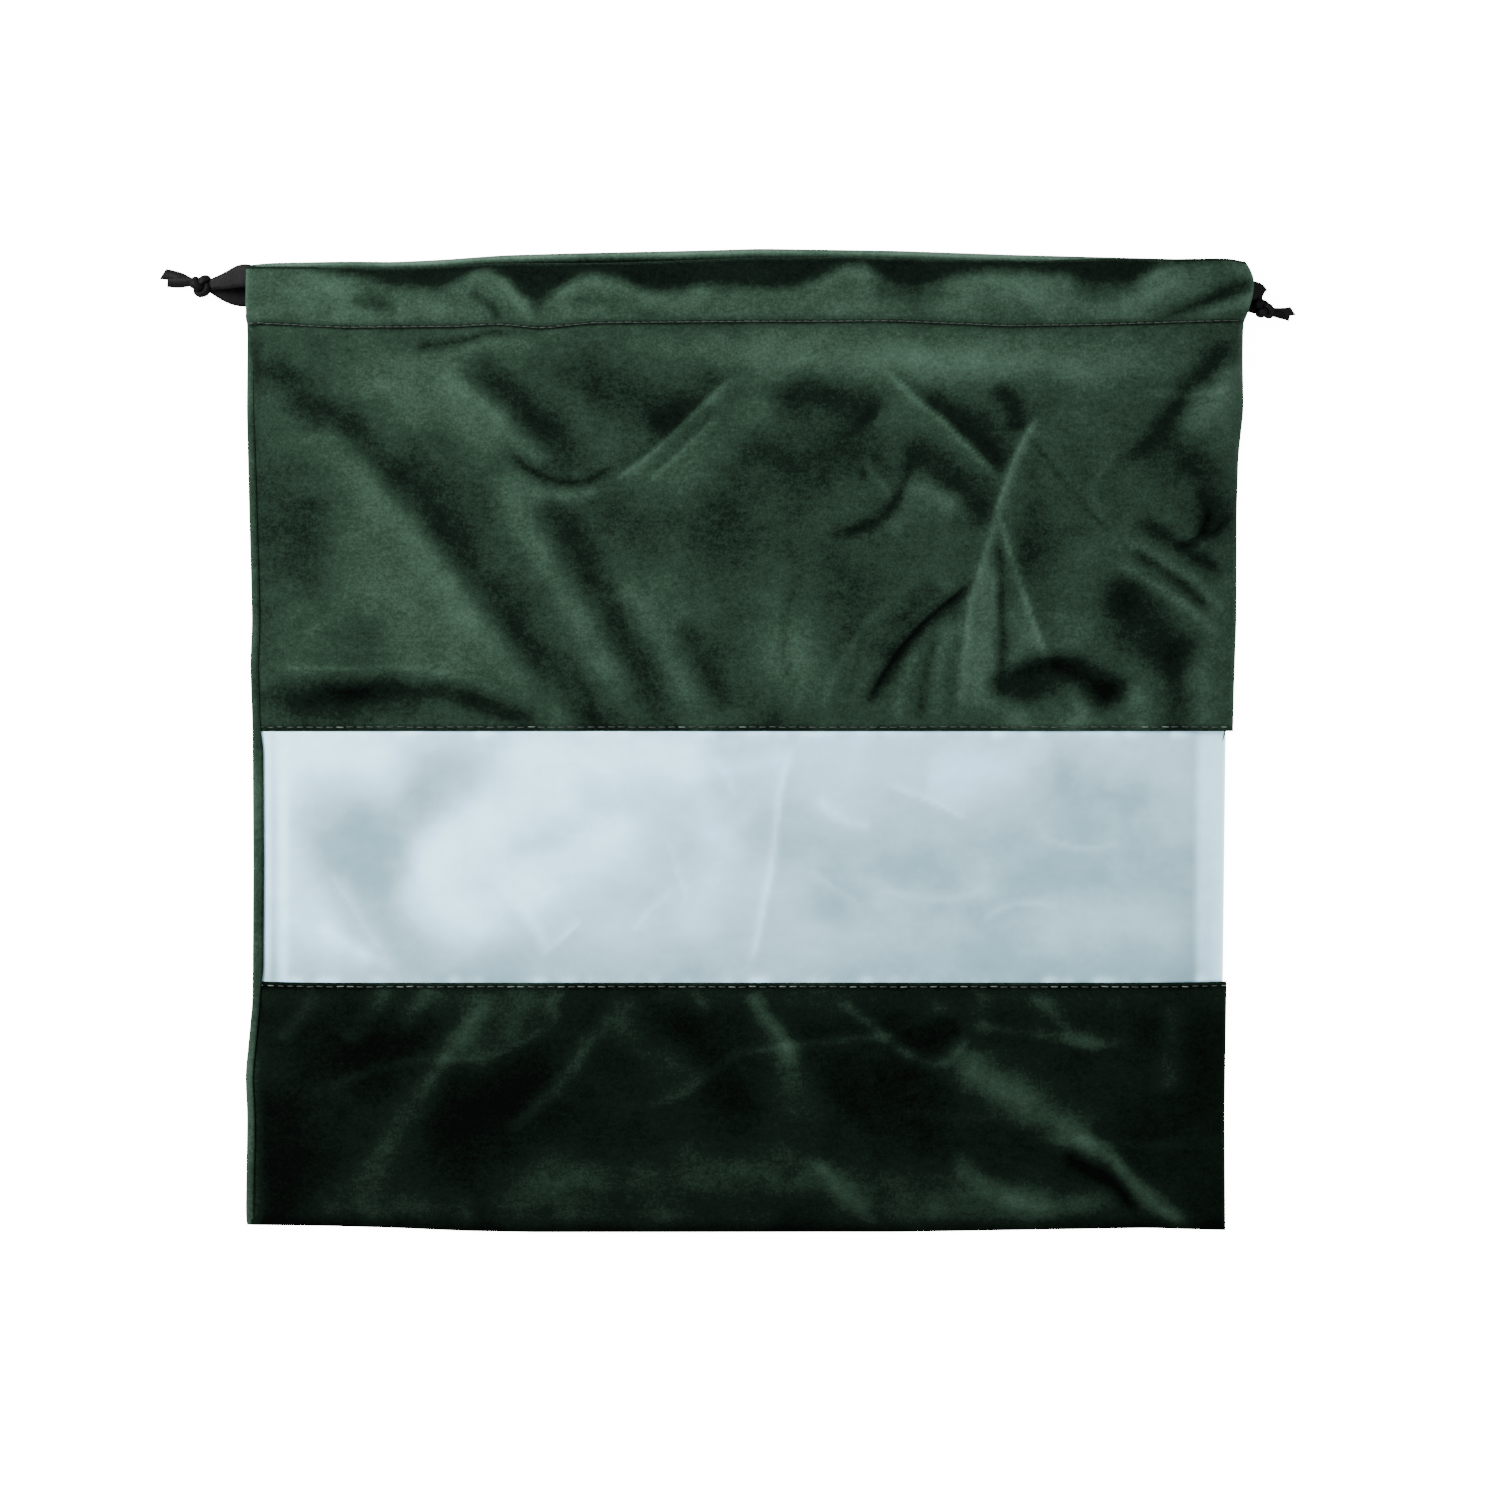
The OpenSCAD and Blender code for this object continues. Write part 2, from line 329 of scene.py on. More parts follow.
def slab(name, middle, thickness, tone, material, cut=None):
    """A closed sheet of that thickness about a grid of middle points, rows by columns.
    cut is the first or last column where the sheet meets its other half, which stays sharp there."""
    rows, columns = middle.shape[:2]
    down = np.gradient(middle, axis=0)
    across = np.gradient(middle, axis=1)
    normal = np.cross(across, down)
    normal /= np.maximum(np.linalg.norm(normal, axis=2, keepdims=True), 1e-9)
    offset = normal * (thickness / 2)[..., None]
    points = np.concatenate([(middle + offset).reshape(-1, 3), (middle - offset).reshape(-1, 3)])
    index = np.arange(rows * columns).reshape(rows, columns)
    a, b = index[:-1, :-1].ravel(), index[:-1, 1:].ravel()
    c, d = index[1:, 1:].ravel(), index[1:, :-1].ravel()
    n = rows * columns
    top = np.stack([a, b, c, d], 1)
    bottom = np.stack([d, c, b, a], 1) + n
    rim = np.concatenate([index[0, ::-1], index[1:, 0], index[-1, 1:], index[-2::-1, -1]])
    ahead = np.roll(rim, -1)
    sides = np.stack([rim, ahead, ahead + n, rim + n], 1)
    faces = np.concatenate([top, bottom, sides]).tolist()
    made = new_object(name, points, faces, material)
    set_tone(made, np.concatenate([tone.ravel(), tone.ravel()]))
    if cut is not None:
        on_cut = set(index[:, cut].tolist()) | set((index[:, cut] + n).tolist())
        for edge in made.data.edges:
            if edge.vertices[0] in on_cut and edge.vertices[1] in on_cut:
                edge.use_edge_sharp = True
    return made


def tube_faces(first, rings, sides, closed=False):
    """Faces between rings of points, from the point numbered first on. A closed tube's last ring meets
    its first one, and an open tube has a cap at each end."""
    faces = []
    for i in range(rings if closed else rings - 1):
        here, there = first + i * sides, first + (i + 1) % rings * sides
        for k in range(sides):
            m = (k + 1) % sides
            faces.append((here + k, there + k, there + m, here + m))
    if not closed:
        last = first + (rings - 1) * sides
        faces.append(tuple(range(first, first + sides)))
        faces.append(tuple(reversed(range(last, last + sides))))
    return faces


def smooth(s):
    s = np.clip(s, 0, 1)
    return s * s * (3 - 2 * s)


def near(distance, width):
    """1 at a distance of 0, falling smoothly to 0 at a few widths."""
    return np.exp(-((distance / width) ** 2))


# The share of a sheet's thickness that is left at its very edge
EDGE_SHARE = 0.12


def rounded(distance, radius):
    """How much of a sheet's thickness is left at that distance from its edge."""
    s = np.clip(distance / radius, 0, 1)
    return np.maximum(np.sqrt(1 - (1 - s) ** 2), EDGE_SHARE)


def noise_mm(x, y, size, seed, octaves=3):
    """Smooth noise of about -1..1 whose largest features are size millimetres across. The seed picks
    the pattern."""
    values = [
        noise.fractal((a / size, b / size, seed), 1.0, 2.0, octaves)
        for a, b in zip(x.ravel(), y.ravel(), strict=True)
    ]
    return np.array(values).reshape(x.shape)


def between(points, x):
    """A smoothed height through given (x, height) points."""
    xs, ys = zip(*points, strict=True)
    reach = np.linspace(-4, 4, 9)
    return sum(np.interp(x + r, xs, ys) for r in reach) / len(reach)


def spread(edges, step):
    """Values from the first edge to the last, about a step apart."""
    parts = [
        np.linspace(a, b, max(2, int(round((b - a) / step)) + 1))
        for a, b in zip(edges[:-1], edges[1:], strict=True)
    ]
    return np.unique(np.concatenate(parts).round(4))


def edged(low, high, step, at_low=True, at_high=True):
    """Values from low to high with extra ones close to each open edge."""
    close = np.array([0, 0.12, 0.35, 0.7, 1.2])
    inner = spread([low + 2, high - 2], step)
    parts = [inner]
    parts.append(low + close if at_low else np.array([low]))
    parts.append(high - close if at_high else np.array([high]))
    return np.unique(np.concatenate(parts).round(4))


# ---------------------------------------------------------------- the front's shape


def ease(s):
    return 1 - (1 - np.clip(s, 0, 1)) ** 3


def side_ease_w(y):
    s = smooth((y - STEEPEN_FROM_Y) / (STITCH_Y - STEEPEN_FROM_Y))
    return EASE_W + (MOUTH_EASE_W - EASE_W) * s


def under(x, y):
    """Height of the front cloth's underside over the floor. The casing's ends open above the stitching."""
    side_w = side_ease_w(y)
    opened = smooth((y - STITCH_Y + 1) / 9)
    side = ease((HALF_W - np.abs(x) + opened * side_w) / side_w)
    return CLOTH_T + (LOFT - CLOTH_T) * side * ease((y - BOTTOM_Y) / EASE_W)


# Where the outline lies, as (y, x) points: the sack isn't quite square
LEFT_SIDE = [
    (-196, -199.3), (-150, -198.6), (-134, -199.4), (-118, -197.8), (-104, -196.5), (-50, -196.2),
    (4, -196.5), (30, -197.4), (46, -196.7), (62, -197.0), (90, -197.8), (132, -198.8),
    (162, -198.5), (172, -199.6), (192, -199.4),
]
RIGHT_SIDE = [
    (-196, 192.2), (-150, 191.8), (-100, 192.6), (0, 195.2), (20, 195.6), (48, 196.6), (90, 196.7),
    (114, 197.4), (132, 199.4), (152, 199.0), (166, 199.2), (172, 200.2), (178, 202.2),
    (184, 202.8), (189, 200.4), (193, 197.4),
]
RIGHT_BACK = [
    (-196, 191.4), (-150, 191.0), (-106, 190.8), (-96, 189.2), (-2, 190.2), (8, 193.4), (20, 194.6),
    (48, 195.8), (90, 195.9), (114, 196.4), (132, 198.2), (166, 198.2), (172, 199.4), (178, 201.4),
    (184, 202.0), (189, 200.4), (195, 197.0),
]
RIGHT_FILM = [(-110, 191.0), (12, 192.4)]

# How wide the back cloth shows beside the front at the left
ROLL_SHOWS = [
    (-196, 2.3), (-160, 2.5), (-137, 2.2), (-112, 2.2), (-100, 2.4), (-94, 3.7), (-2, 3.7),
    (4, 2.4), (192, 2.3),
]
LEAST_ROLL = 2.2

# How far inside the outline the front panels' left edge lies: less than the roll shows below the
# stitched line, and this much in the casing
FRONT_OVER_ROLL = 0.6
CASING_IN = 1.1


def lay_sides(x, y, left_in, right_side):
    """Brings flat places in to where the sides lie. left_in is how far the piece starts inside them."""
    left = between(LEFT_SIDE, y) + HALF_W + left_in
    right = between(right_side, y) - HALF_W
    return x + left * smooth((-x - 60) / 140) + right * smooth((x - 60) / 140)


# Steps of a smooth line between two of its points
LINE_STEPS = 8


def smooth_line(points):
    """A Catmull-Rom curve through the points."""
    p = np.array([points[0], *points, points[-1]], float)
    line = []
    for a, b, c, d in zip(p[:-3], p[1:-2], p[2:-1], p[3:], strict=True):
        for t in np.arange(LINE_STEPS) / LINE_STEPS:
            square = (2 * a - 5 * b + 4 * c - d) * t**2
            cube = (3 * b - a - 3 * c + d) * t**3
            line.append(0.5 * (2 * b + (c - a) * t + square + cube))
    return np.array([*line, p[-1]])


def trace(x, y, points):
    """Distance to the smooth line through points, its sign (left of travel is +), and how far along it."""
    line = smooth_line(points)
    best = np.full(x.shape, np.inf)
    side = np.zeros(x.shape)
    along = np.zeros(x.shape)
    for i, (a, b) in enumerate(zip(line[:-1], line[1:], strict=True)):
        d = b - a
        t = np.clip(((x - a[0]) * d[0] + (y - a[1]) * d[1]) / (d @ d), 0, 1)
        ex, ey = x - (a[0] + t * d[0]), y - (a[1] + t * d[1])
        q = ex * ex + ey * ey
        closer = q < best
        best = np.where(closer, q, best)
        side = np.where(closer, np.sign(d[0] * ey - d[1] * ex), side)
        along = np.where(closer, (i + t) / (len(line) - 1), along)
    return np.sqrt(best), side, along


def fold(width, height, tone, *points, lean=0, end_width=None):
    """A soft ridge (or with a negative height a valley) along points. tone paints highlight on it (shade
    where it is negative), and lean paints its left side lit and its right side shaded. A single point
    makes a round swell."""
    return width, end_width or width, height, tone, lean, False, points


def crease(width, height, tone, lean, *points):
    """A ridge or a valley with a sharp line."""
    return width, width, height, tone, lean, True, points


# A fold shorter than this many widths keeps its round ends, and a longer one fades out over this share
STUBBY, FADE = 4.5, 0.2

# How far the folds' lines stray from their points: a long wander and a short one, as (size, amount)
STRAYS = ((45, 3.0), (10, 0.9))


def strayed(x, y, seed):
    return sum(amount * noise_mm(x, y, size, seed + i) for i, (size, amount) in enumerate(STRAYS))


def relief(x, y, folds, seed):
    """Height in millimetres and painted light and shade from a list of folds, their lines made a little
    uneven.
    """
    stray_x, stray_y = strayed(x, y, seed), strayed(x, y, seed + 7)
    height = np.zeros(x.shape)
    tone = np.zeros(x.shape)
    for start_w, end_w, high, light, lean, sharp, points in folds:
        p = np.array(points, float)
        reach = 4 * max(start_w, end_w) + 3
        low, top = p.min(0) - reach, p.max(0) + reach
        stray = 0.3 if sharp else 1
        wx, wy = x + stray * stray_x, y + stray * stray_y
        inside = (wx > low[0]) & (wx < top[0]) & (wy > low[1]) & (wy < top[1])
        if not inside.any():
            continue
        if len(points) == 1:
            shape = near(np.hypot(wx[inside] - p[0, 0], wy[inside] - p[0, 1]), start_w)
            height[inside] += high * shape
            tone[inside] += light * shape
            continue
        distance, side, along = trace(wx[inside], wy[inside], points)
        width = start_w + (end_w - start_w) * along
        length = np.linalg.norm(np.diff(p, axis=0), axis=1).sum()
        fade = smooth(along / FADE) * smooth((1 - along) / FADE) if length > STUBBY * start_w else 1
        # Painted light and shade: the ridge's tone lights or shades the fold's line, the flanks' tone
        # lights one side and shades the other
        if sharp:
            shape = np.exp(-distance / width)
            ridge_light_and_shade = 0.8 * near(distance, 1.3 * width)
            flank_light_and_shade = side * (1 - np.exp(-distance / (0.3 * width))) * np.exp(-distance / (1.8 * width))
        else:
            shape = ridge_light_and_shade = near(distance, width)
            flank_light_and_shade = side * distance / width * near(distance, width) * 1.6
        height[inside] += high * shape * fade
        tone[inside] += (light * ridge_light_and_shade + lean * flank_light_and_shade) * fade
    uneven = 1 + 0.35 * noise_mm(x, y, 15, seed + 13)
    return height, tone * uneven


# Folds of the upper panel, seen from the front: x to the right and y to the mouth, in millimetres. Their
# tones paint each fold's light and shade
UPPER_FOLDS = [
    # broad diagonal folds on the left
    fold(6.5, -2.2, -0.50, (-192, 150), (-168, 134), (-148, 114), (-127, 90), (-110, 69), (-88, 43),
         (-62, 14), (-40, -12), end_width=9),
    fold(13, -0.8, -0.18, (-146, 132), (-116, 96), (-88, 62), (-62, 34)),
    fold(7, 1.8, 0.40, (-166, 124), (-150, 103), (-132, 80), (-113, 55), (-96, 34), (-84, 14)),
    fold(8, -0.6, -0.40, (-196, 152), (-184, 144), (-176, 132)),
    fold(13, -0.6, -0.30, (-190, 116), (-184, 95), (-174, 78), (-180, 50)),
    fold(15, 0.8, 0.26, (-156, 66), (-132, 48), (-114, 30)),
    fold(12, 1.0, 0.32, (-166, 152), (-136, 142), (-114, 128), (-98, 112)),
    fold(7, 1.8, 0.40, (-102, 110), (-90, 90), (-75, 66), (-60, 42), (-46, 12)),
    fold(6.5, -2.0, -0.54, (-86, 102), (-74, 88), (-62, 68), (-52, 47), (-41, 29), (-20, -12), end_width=8),
    fold(6, 1.0, 0.30, (-50, 66), (-36, 44), (-20, 12)),
    fold(5, -1.0, -0.38, (-28, 50), (-17, 33), (-3, 10)),
    crease(1.6, 0.4, 0.22, 0.1, (-83, 36), (-77, 22), (-74, 6)),
    crease(1.6, -0.4, -0.26, 0.1, (-68, 32), (-62, 18), (-59, 6)),
    crease(1.4, 0.3, 0.20, 0.1, (-152, 150), (-138, 130), (-118, 104)),
    fold(2.6, -0.8, -0.50, (-134, 156), (-120, 160), (-106, 163), (-90, 165)),
    fold(3, 0.5, 0.25, (-112, 157), (-96, 160), (-80, 160)),
    # the hooked fold, and the crease that runs up from it
    fold(7, -2.4, -0.62, (-116, 153), (-99, 143), (-87, 134), (-76, 120), (-64, 106), end_width=9),
    fold(5, 1.2, 0.38, (-124, 148), (-106, 135), (-93, 122), (-80, 111)),
    crease(1.7, -1.4, -0.75, -0.45, (-97, 115), (-87, 107), (-77, 103), (-64, 103), (-50, 110)),
    fold(2.6, 0.9, 0.35, (-88, 99), (-72, 97), (-58, 101)),
    crease(1.6, 1.3, 0.38, -0.32, (-54, 104), (-44, 110), (-30, 122), (-16, 135), (-2, 148)),
    crease(1.4, 0.8, 0.22, -0.18, (-40, 102), (-24, 117), (-10, 131)),
    fold(6, -1.0, -0.36, (-40, 124), (-24, 136), (-8, 150)),
    fold(11, -1.2, -0.42, (-62, 148), (-46, 136), (-30, 132)),
    fold(9, 1.2, 0.30, (-26, 104), (-10, 118), (4, 130)),
    fold(13, -0.6, -0.28, (-52, 94), (-38, 84), (-26, 92), (-8, 84)),
    # the flat band below the casing
    fold(9, 0.8, 0.34, (-70, 158), (0, 157), (60, 156), (120, 154), (188, 150)),
    fold(8, 0.6, 0.26, (-22, 148), (60, 151), (120, 149), (158, 144)),
    # the low horizontal fold at the left
    fold(5, -1.8, -0.70, (-208, 16), (-162, 19), (-132, 20), (-106, 16), (-74, 2), end_width=4),
    fold(7, -0.8, -0.35, (-196, 13), (-160, 12), (-128, 13)),
    crease(1.5, 1.0, 0.34, 0.25, (-199, 27), (-162, 28), (-134, 28), (-112, 24)),
    # the dark patch and the curled creases right of the middle
    fold(9, -1.4, -0.62, (8, 134), (26, 139), (44, 134), (54, 126)),
    fold(13, -0.8, -0.32, (2, 116), (22, 110), (44, 116)),
    fold(38, 0.0, -0.22, (16, 96)),
    crease(2.2, -1.4, -0.80, 0.35, (70, 116), (64, 101), (59, 92), (49, 85), (32, 79)),
    fold(5, 0.9, 0.36, (62, 108), (74, 99), (86, 91)),
    fold(5, 0.8, 0.26, (66, 104), (64, 92), (56, 82)),
    crease(1.5, 0.7, 0.38, 0, (46, 114), (54, 103), (58, 96)),
    fold(11, 0.8, 0.18, (12, 84), (8, 58), (20, 30), (30, 8)),
    crease(1.6, -0.4, -0.24, 0.1, (16, 82), (20, 66), (16, 40), (22, 14)),
    crease(1.5, 0.4, 0.22, 0.1, (60, 60), (46, 44), (34, 24), (30, 8)),
    fold(12, -0.6, -0.28, (-8, 34), (2, 22), (8, 8)),
    fold(10, -0.5, -0.22, (36, 64), (44, 44), (40, 24)),
    # the star of sharp folds
    crease(1.5, 1.8, 0.48, -0.45, (54, 150), (66, 139), (80, 127), (92, 115), (104, 102)),
    fold(6, -1.6, -0.56, (68, 145), (84, 131), (96, 119), (106, 108)),
    fold(7, -1.5, -0.60, (62, 120), (78, 109), (90, 99), (100, 86)),
    fold(4, -1.6, -0.60, (98, 142), (106, 134), (107, 122)),
    crease(2.0, 2.0, 0.70, 0.40, (116, 130), (111, 120), (106, 109), (102, 97), (97, 82)),
    crease(2.3, 1.9, 0.60, 0.32, (99, 90), (94, 72), (89, 54), (87, 30), (86, 6)),
    crease(1.7, 1.4, 0.60, -0.35, (102, 92), (106, 76), (112, 60), (119, 42), (124, 32)),
    crease(1.5, -1.0, -0.62, 0, (101, 86), (102, 66), (103, 42), (103, 12)),
    fold(5, 1.1, 0.42, (98, 72), (96, 46), (95, 10)),
    crease(2.2, -2.2, -1.05, -0.35, (93, 67), (82, 56), (73, 49), (63, 38), (54, 25), (48, 12)),
    fold(5, -0.8, -0.38, (78, 64), (66, 50), (54, 32)),
    fold(3.5, 0.8, 0.34, (84, 50), (79, 32), (78, 8)),
    crease(1.5, -0.7, -0.42, 0, (78, 44), (72, 26), (70, 6)),
    fold(2.5, 0.6, 0.28, (70, 38), (64, 22), (62, 6)),
    fold(7, 0.9, 0.30, (108, 58), (112, 44), (108, 28), (96, 8)),
    fold(7, -0.6, -0.28, (114, 106), (116, 88), (112, 76)),
    # the dark patch by the window, right
    fold(5, -1.7, -1.05, (96, 16), (108, 26), (121, 31), (134, 30), (146, 24), (156, 14)),
    fold(7, -1.0, -0.80, (112, 20), (126, 23), (142, 20)),
    fold(4.5, 0.8, 0.42, (132, 20), (137, 12), (132, 4)),
    fold(4.5, 0.8, 0.36, (156, 20), (161, 12), (158, 4)),
    fold(5, 0.5, 0.28, (110, 12), (114, 4)),
    # the right side
    fold(10, -1.2, -0.62, (164, 126), (180, 112), (190, 96), (184, 80)),
    crease(1.8, -1.2, -0.60, -0.2, (180, 102), (187, 91), (182, 81), (172, 77)),
    crease(1.6, -0.8, -0.45, -0.2, (198, 92), (190, 84), (184, 84)),
    fold(5, -1.4, -0.62, (198, 164), (184, 149), (174, 139), (163, 123), (154, 111)),
    fold(6, 0.8, 0.42, (196, 146), (190, 134), (178, 128)),
    crease(1.5, 0.8, 0.32, 0, (154, 140), (172, 138), (196, 140)),
    crease(1.6, 1.6, 0.62, 0.25, (148, 72), (160, 64), (172, 57), (184, 49), (196, 40)),
    crease(1.5, 1.2, 0.46, 0, (154, 80), (168, 72), (181, 64), (197, 50)),
    fold(3, -1.2, -0.55, (156, 75), (172, 65), (190, 52)),
    fold(4, -1.4, -0.60, (158, 88), (176, 78), (194, 66)),
    fold(10, -1.0, -0.68, (146, 64), (156, 50), (170, 38), (186, 30)),
    fold(6, -0.6, -0.40, (172, 30), (176, 18), (174, 6)),
    fold(5, 0.7, 0.30, (190, 34), (186, 20), (190, 8)),
    crease(1.3, -0.5, -0.32, 0.15, (112, 124), (130, 102), (150, 80)),
    crease(1.3, 0.4, 0.22, 0, (150, 118), (140, 100), (146, 84)),
    fold(26, 0.0, -0.20, (136, 96)),
    fold(10, 0.7, 0.18, (146, 78), (130, 62), (134, 46)),
]

# Folds of the lower panel, their tones painting light and shade
LOWER_FOLDS = [
    fold(5, 1.8, 0.60, (-102, -96), (-112, -114), (-121, -126), (-132, -144)),
    fold(7, 1.4, 0.38, (-122, -128), (-136, -148), (-148, -164), (-162, -180), (-180, -196), end_width=8),
    crease(1.7, 1.0, 0.34, 0.12, (-184, -147), (-156, -134), (-130, -127), (-105, -126), (-84, -118),
           (-70, -110)),
    fold(9, 1.0, 0.44, (-86, -98), (-90, -110), (-106, -122)),
    fold(4.5, 1.2, 0.46, (-40, -102), (-56, -114), (-68, -130), (-84, -146), (-100, -156), end_width=2.5),
    fold(7, 0.8, 0.36, (-52, -112), (-36, -124), (-18, -140)),
    fold(8, -1.0, -0.24, (-30, -98), (-18, -120), (-4, -140), (10, -152)),
    fold(10, -1.0, -0.18, (-84, -126), (-98, -140), (-118, -152)),
    fold(9, -0.8, -0.18, (-136, -118), (-152, -126), (-172, -128)),
    crease(1.7, 1.1, 0.26, 0.15, (-50, -147), (-32, -143), (-18, -136), (-4, -126), (6, -122)),
    crease(1.7, 1.1, 0.34, -0.12, (-2, -124), (16, -121), (44, -118), (66, -116)),
    fold(3.5, 1.2, 0.66, (2, -98), (8, -110), (15, -120), (20, -130)),
    fold(8, 0.8, 0.28, (12, -118), (20, -134), (26, -148)),
    fold(2.6, 1.2, 0.46, (36, -102), (48, -112), (60, -122), (70, -128)),
    crease(1.9, 1.2, 0.44, 0.15, (58, -120), (66, -127), (77, -129), (86, -122), (90, -112)),
    crease(1.9, 0.9, 0.30, 0.1, (60, -115), (70, -110), (80, -108), (92, -110)),
    fold(5, -0.5, -0.15, (62, -119), (72, -121), (82, -116)),
    crease(1.7, 1.0, 0.42, 0.12, (84, -112), (104, -115), (126, -118), (144, -121), (166, -119)),
    fold(8, 1.8, 0.70, (76, -120), (92, -131), (108, -141), (126, -151), (146, -160), end_width=8),
    fold(4, 1.8, 0.75, (134, -154), (150, -165), (166, -178), (194, -202), lean=-0.3, end_width=5),
    fold(11, 0.8, 0.34, (96, -128), (118, -138), (140, -150)),
    fold(2.6, -1.4, -0.6, (130, -162), (146, -173), (164, -188)),
    crease(1.7, 0.8, 0.32, 0, (112, -157), (140, -159), (168, -160), (194, -159)),
    fold(3.5, 1.0, 0.52, (114, -98), (126, -109), (136, -117), (150, -121)),
    fold(5, 0.6, 0.38, (176, -104), (177, -124), (176, -142)),
    fold(3, 0.9, 0.40, (26, -162), (36, -174), (46, -184), (56, -194)),
    fold(13, 0.8, 0.50, (32, -174), (66, -180), (104, -182), (134, -184)),
    fold(5, 0.8, 0.50, (80, -164), (100, -176), (130, -184), (158, -184)),
    fold(11, 0.9, 0.50, (-110, -182), (-70, -174), (-30, -172), (20, -172), (50, -178)),
    fold(6, 0.6, 0.34, (-80, -190), (-30, -188), (20, -190)),
    fold(8, 0.7, 0.42, (-160, -190), (-134, -184), (-104, -188)),
    fold(4, 0.6, 0.36, (-144, -98), (-152, -110), (-164, -120)),
    fold(4, 0.6, 0.36, (-126, -98), (-134, -108), (-140, -116)),
    fold(3.5, 0.6, 0.30, (-176, -98), (-184, -110), (-192, -118)),
    fold(3, 0.6, 0.34, (-70, -98), (-76, -106), (-72, -112)),
    fold(3, 0.6, 0.32, (-20, -98), (-16, -106)),
    fold(4, 0.6, 0.28, (70, -98), (76, -106)),
    fold(5, 0.6, 0.26, (98, -98), (92, -108), (98, -118)),
    crease(1.6, 0.5, 0.24, 0, (60, -146), (84, -150), (104, -148)),
    fold(11, -0.6, -0.18, (-190, -150), (-176, -166), (-190, -184)),
    fold(11, -0.5, -0.18, (40, -150), (60, -140), (84, -154)),
]

# Soft swells and creases of the film, their tones painting its reflections as bright and dark clouds
FILM_FOLDS = [
    fold(16, 0.8, 0.85, (-176, -6), (-158, -10)),
    fold(19, -0.7, -0.72, (-164, -20), (-148, -32), (-128, -20)),
    fold(14, -0.5, -0.42, (-168, -46), (-150, -56), (-138, -70)),
    fold(13, 0.9, 1.02, (-134, -56), (-114, -40), (-86, -24), (-60, -18)),
    fold(12, 0.7, 0.78, (-130, -62), (-110, -70)),
    fold(6, -0.5, -0.24, (-96, -42), (-78, -42), (-62, -34)),
    fold(14, 0.5, 0.80, (-88, -58), (-70, -50), (-54, -36)),
    fold(10, 0.4, 0.80, (-104, -4), (-70, -4), (-40, -8), (-8, -10)),
    crease(2.0, 0.6, 0.51, 0.1, (-100, -56), (-88, -67), (-78, -84)),
    crease(2.4, 0.5, 0.44, 0.1, (-176, -72), (-160, -84), (-140, -92)),
    fold(10, 0.3, 0.34, (-186, -62), (-170, -80), (-150, -90)),
    crease(1.5, 0.6, 0.34, -0.2, (19, 0), (15, -20), (12, -44), (6, -76), (2, -92)),
    fold(10, 0.3, 0.27, (-20, -20), (-10, -50), (-24, -84)),
    crease(3.0, 0.3, 0.20, 0, (-14, -14), (4, -10), (20, -4)),
    crease(2.0, 0.4, 0.37, -0.1, (28, -22), (40, -32), (52, -34)),
    crease(2.0, 0.3, 0.27, 0.1, (50, -60), (80, -64), (104, -58)),
    fold(24, -0.4, -0.37, (60, -50), (110, -60), (160, -50)),
    fold(12, 0.4, 0.37, (70, -12), (100, -14), (130, -8)),
    fold(12, -0.4, -0.41, (122, -14), (140, -22), (164, -20)),
    fold(12, 0.3, 0.31, (130, -78), (156, -70), (176, -78)),
    fold(14, -0.3, -0.34, (0, -30), (30, -50), (34, -80)),
    # faint crinkles
    crease(1.5, 0.3, 0.16, 0.22, (-70, -5), (-62, -9), (-53, -15)),
    crease(1.5, 0.3, 0.12, -0.20, (-82, -30), (-73, -36), (-62, -38)),
    crease(1.5, 0.3, 0.18, 0.20, (-81, -86), (-73, -80), (-64, -72)),
    crease(1.5, 0.3, 0.16, -0.18, (-46, -76), (-38, -67), (-28, -58)),
    crease(1.5, 0.3, 0.12, 0.18, (-31, -40), (-28, -52), (-24, -66)),
    crease(1.5, 0.3, 0.14, 0.16, (-14, -8), (-8, -15), (-4, -24)),
    crease(1.5, 0.3, 0.14, -0.16, (26, -50), (35, -58), (48, -66)),
    crease(1.5, 0.3, 0.16, 0.18, (54, -18), (72, -24), (92, -33)),
    crease(1.5, 0.3, 0.14, 0.16, (96, -72), (112, -66), (130, -68)),
    crease(1.5, 0.3, 0.16, 0.18, (-172, -52), (-160, -68), (-146, -88)),
    crease(1.5, 0.3, 0.14, -0.16, (118, -36), (136, -42), (156, -40)),
]

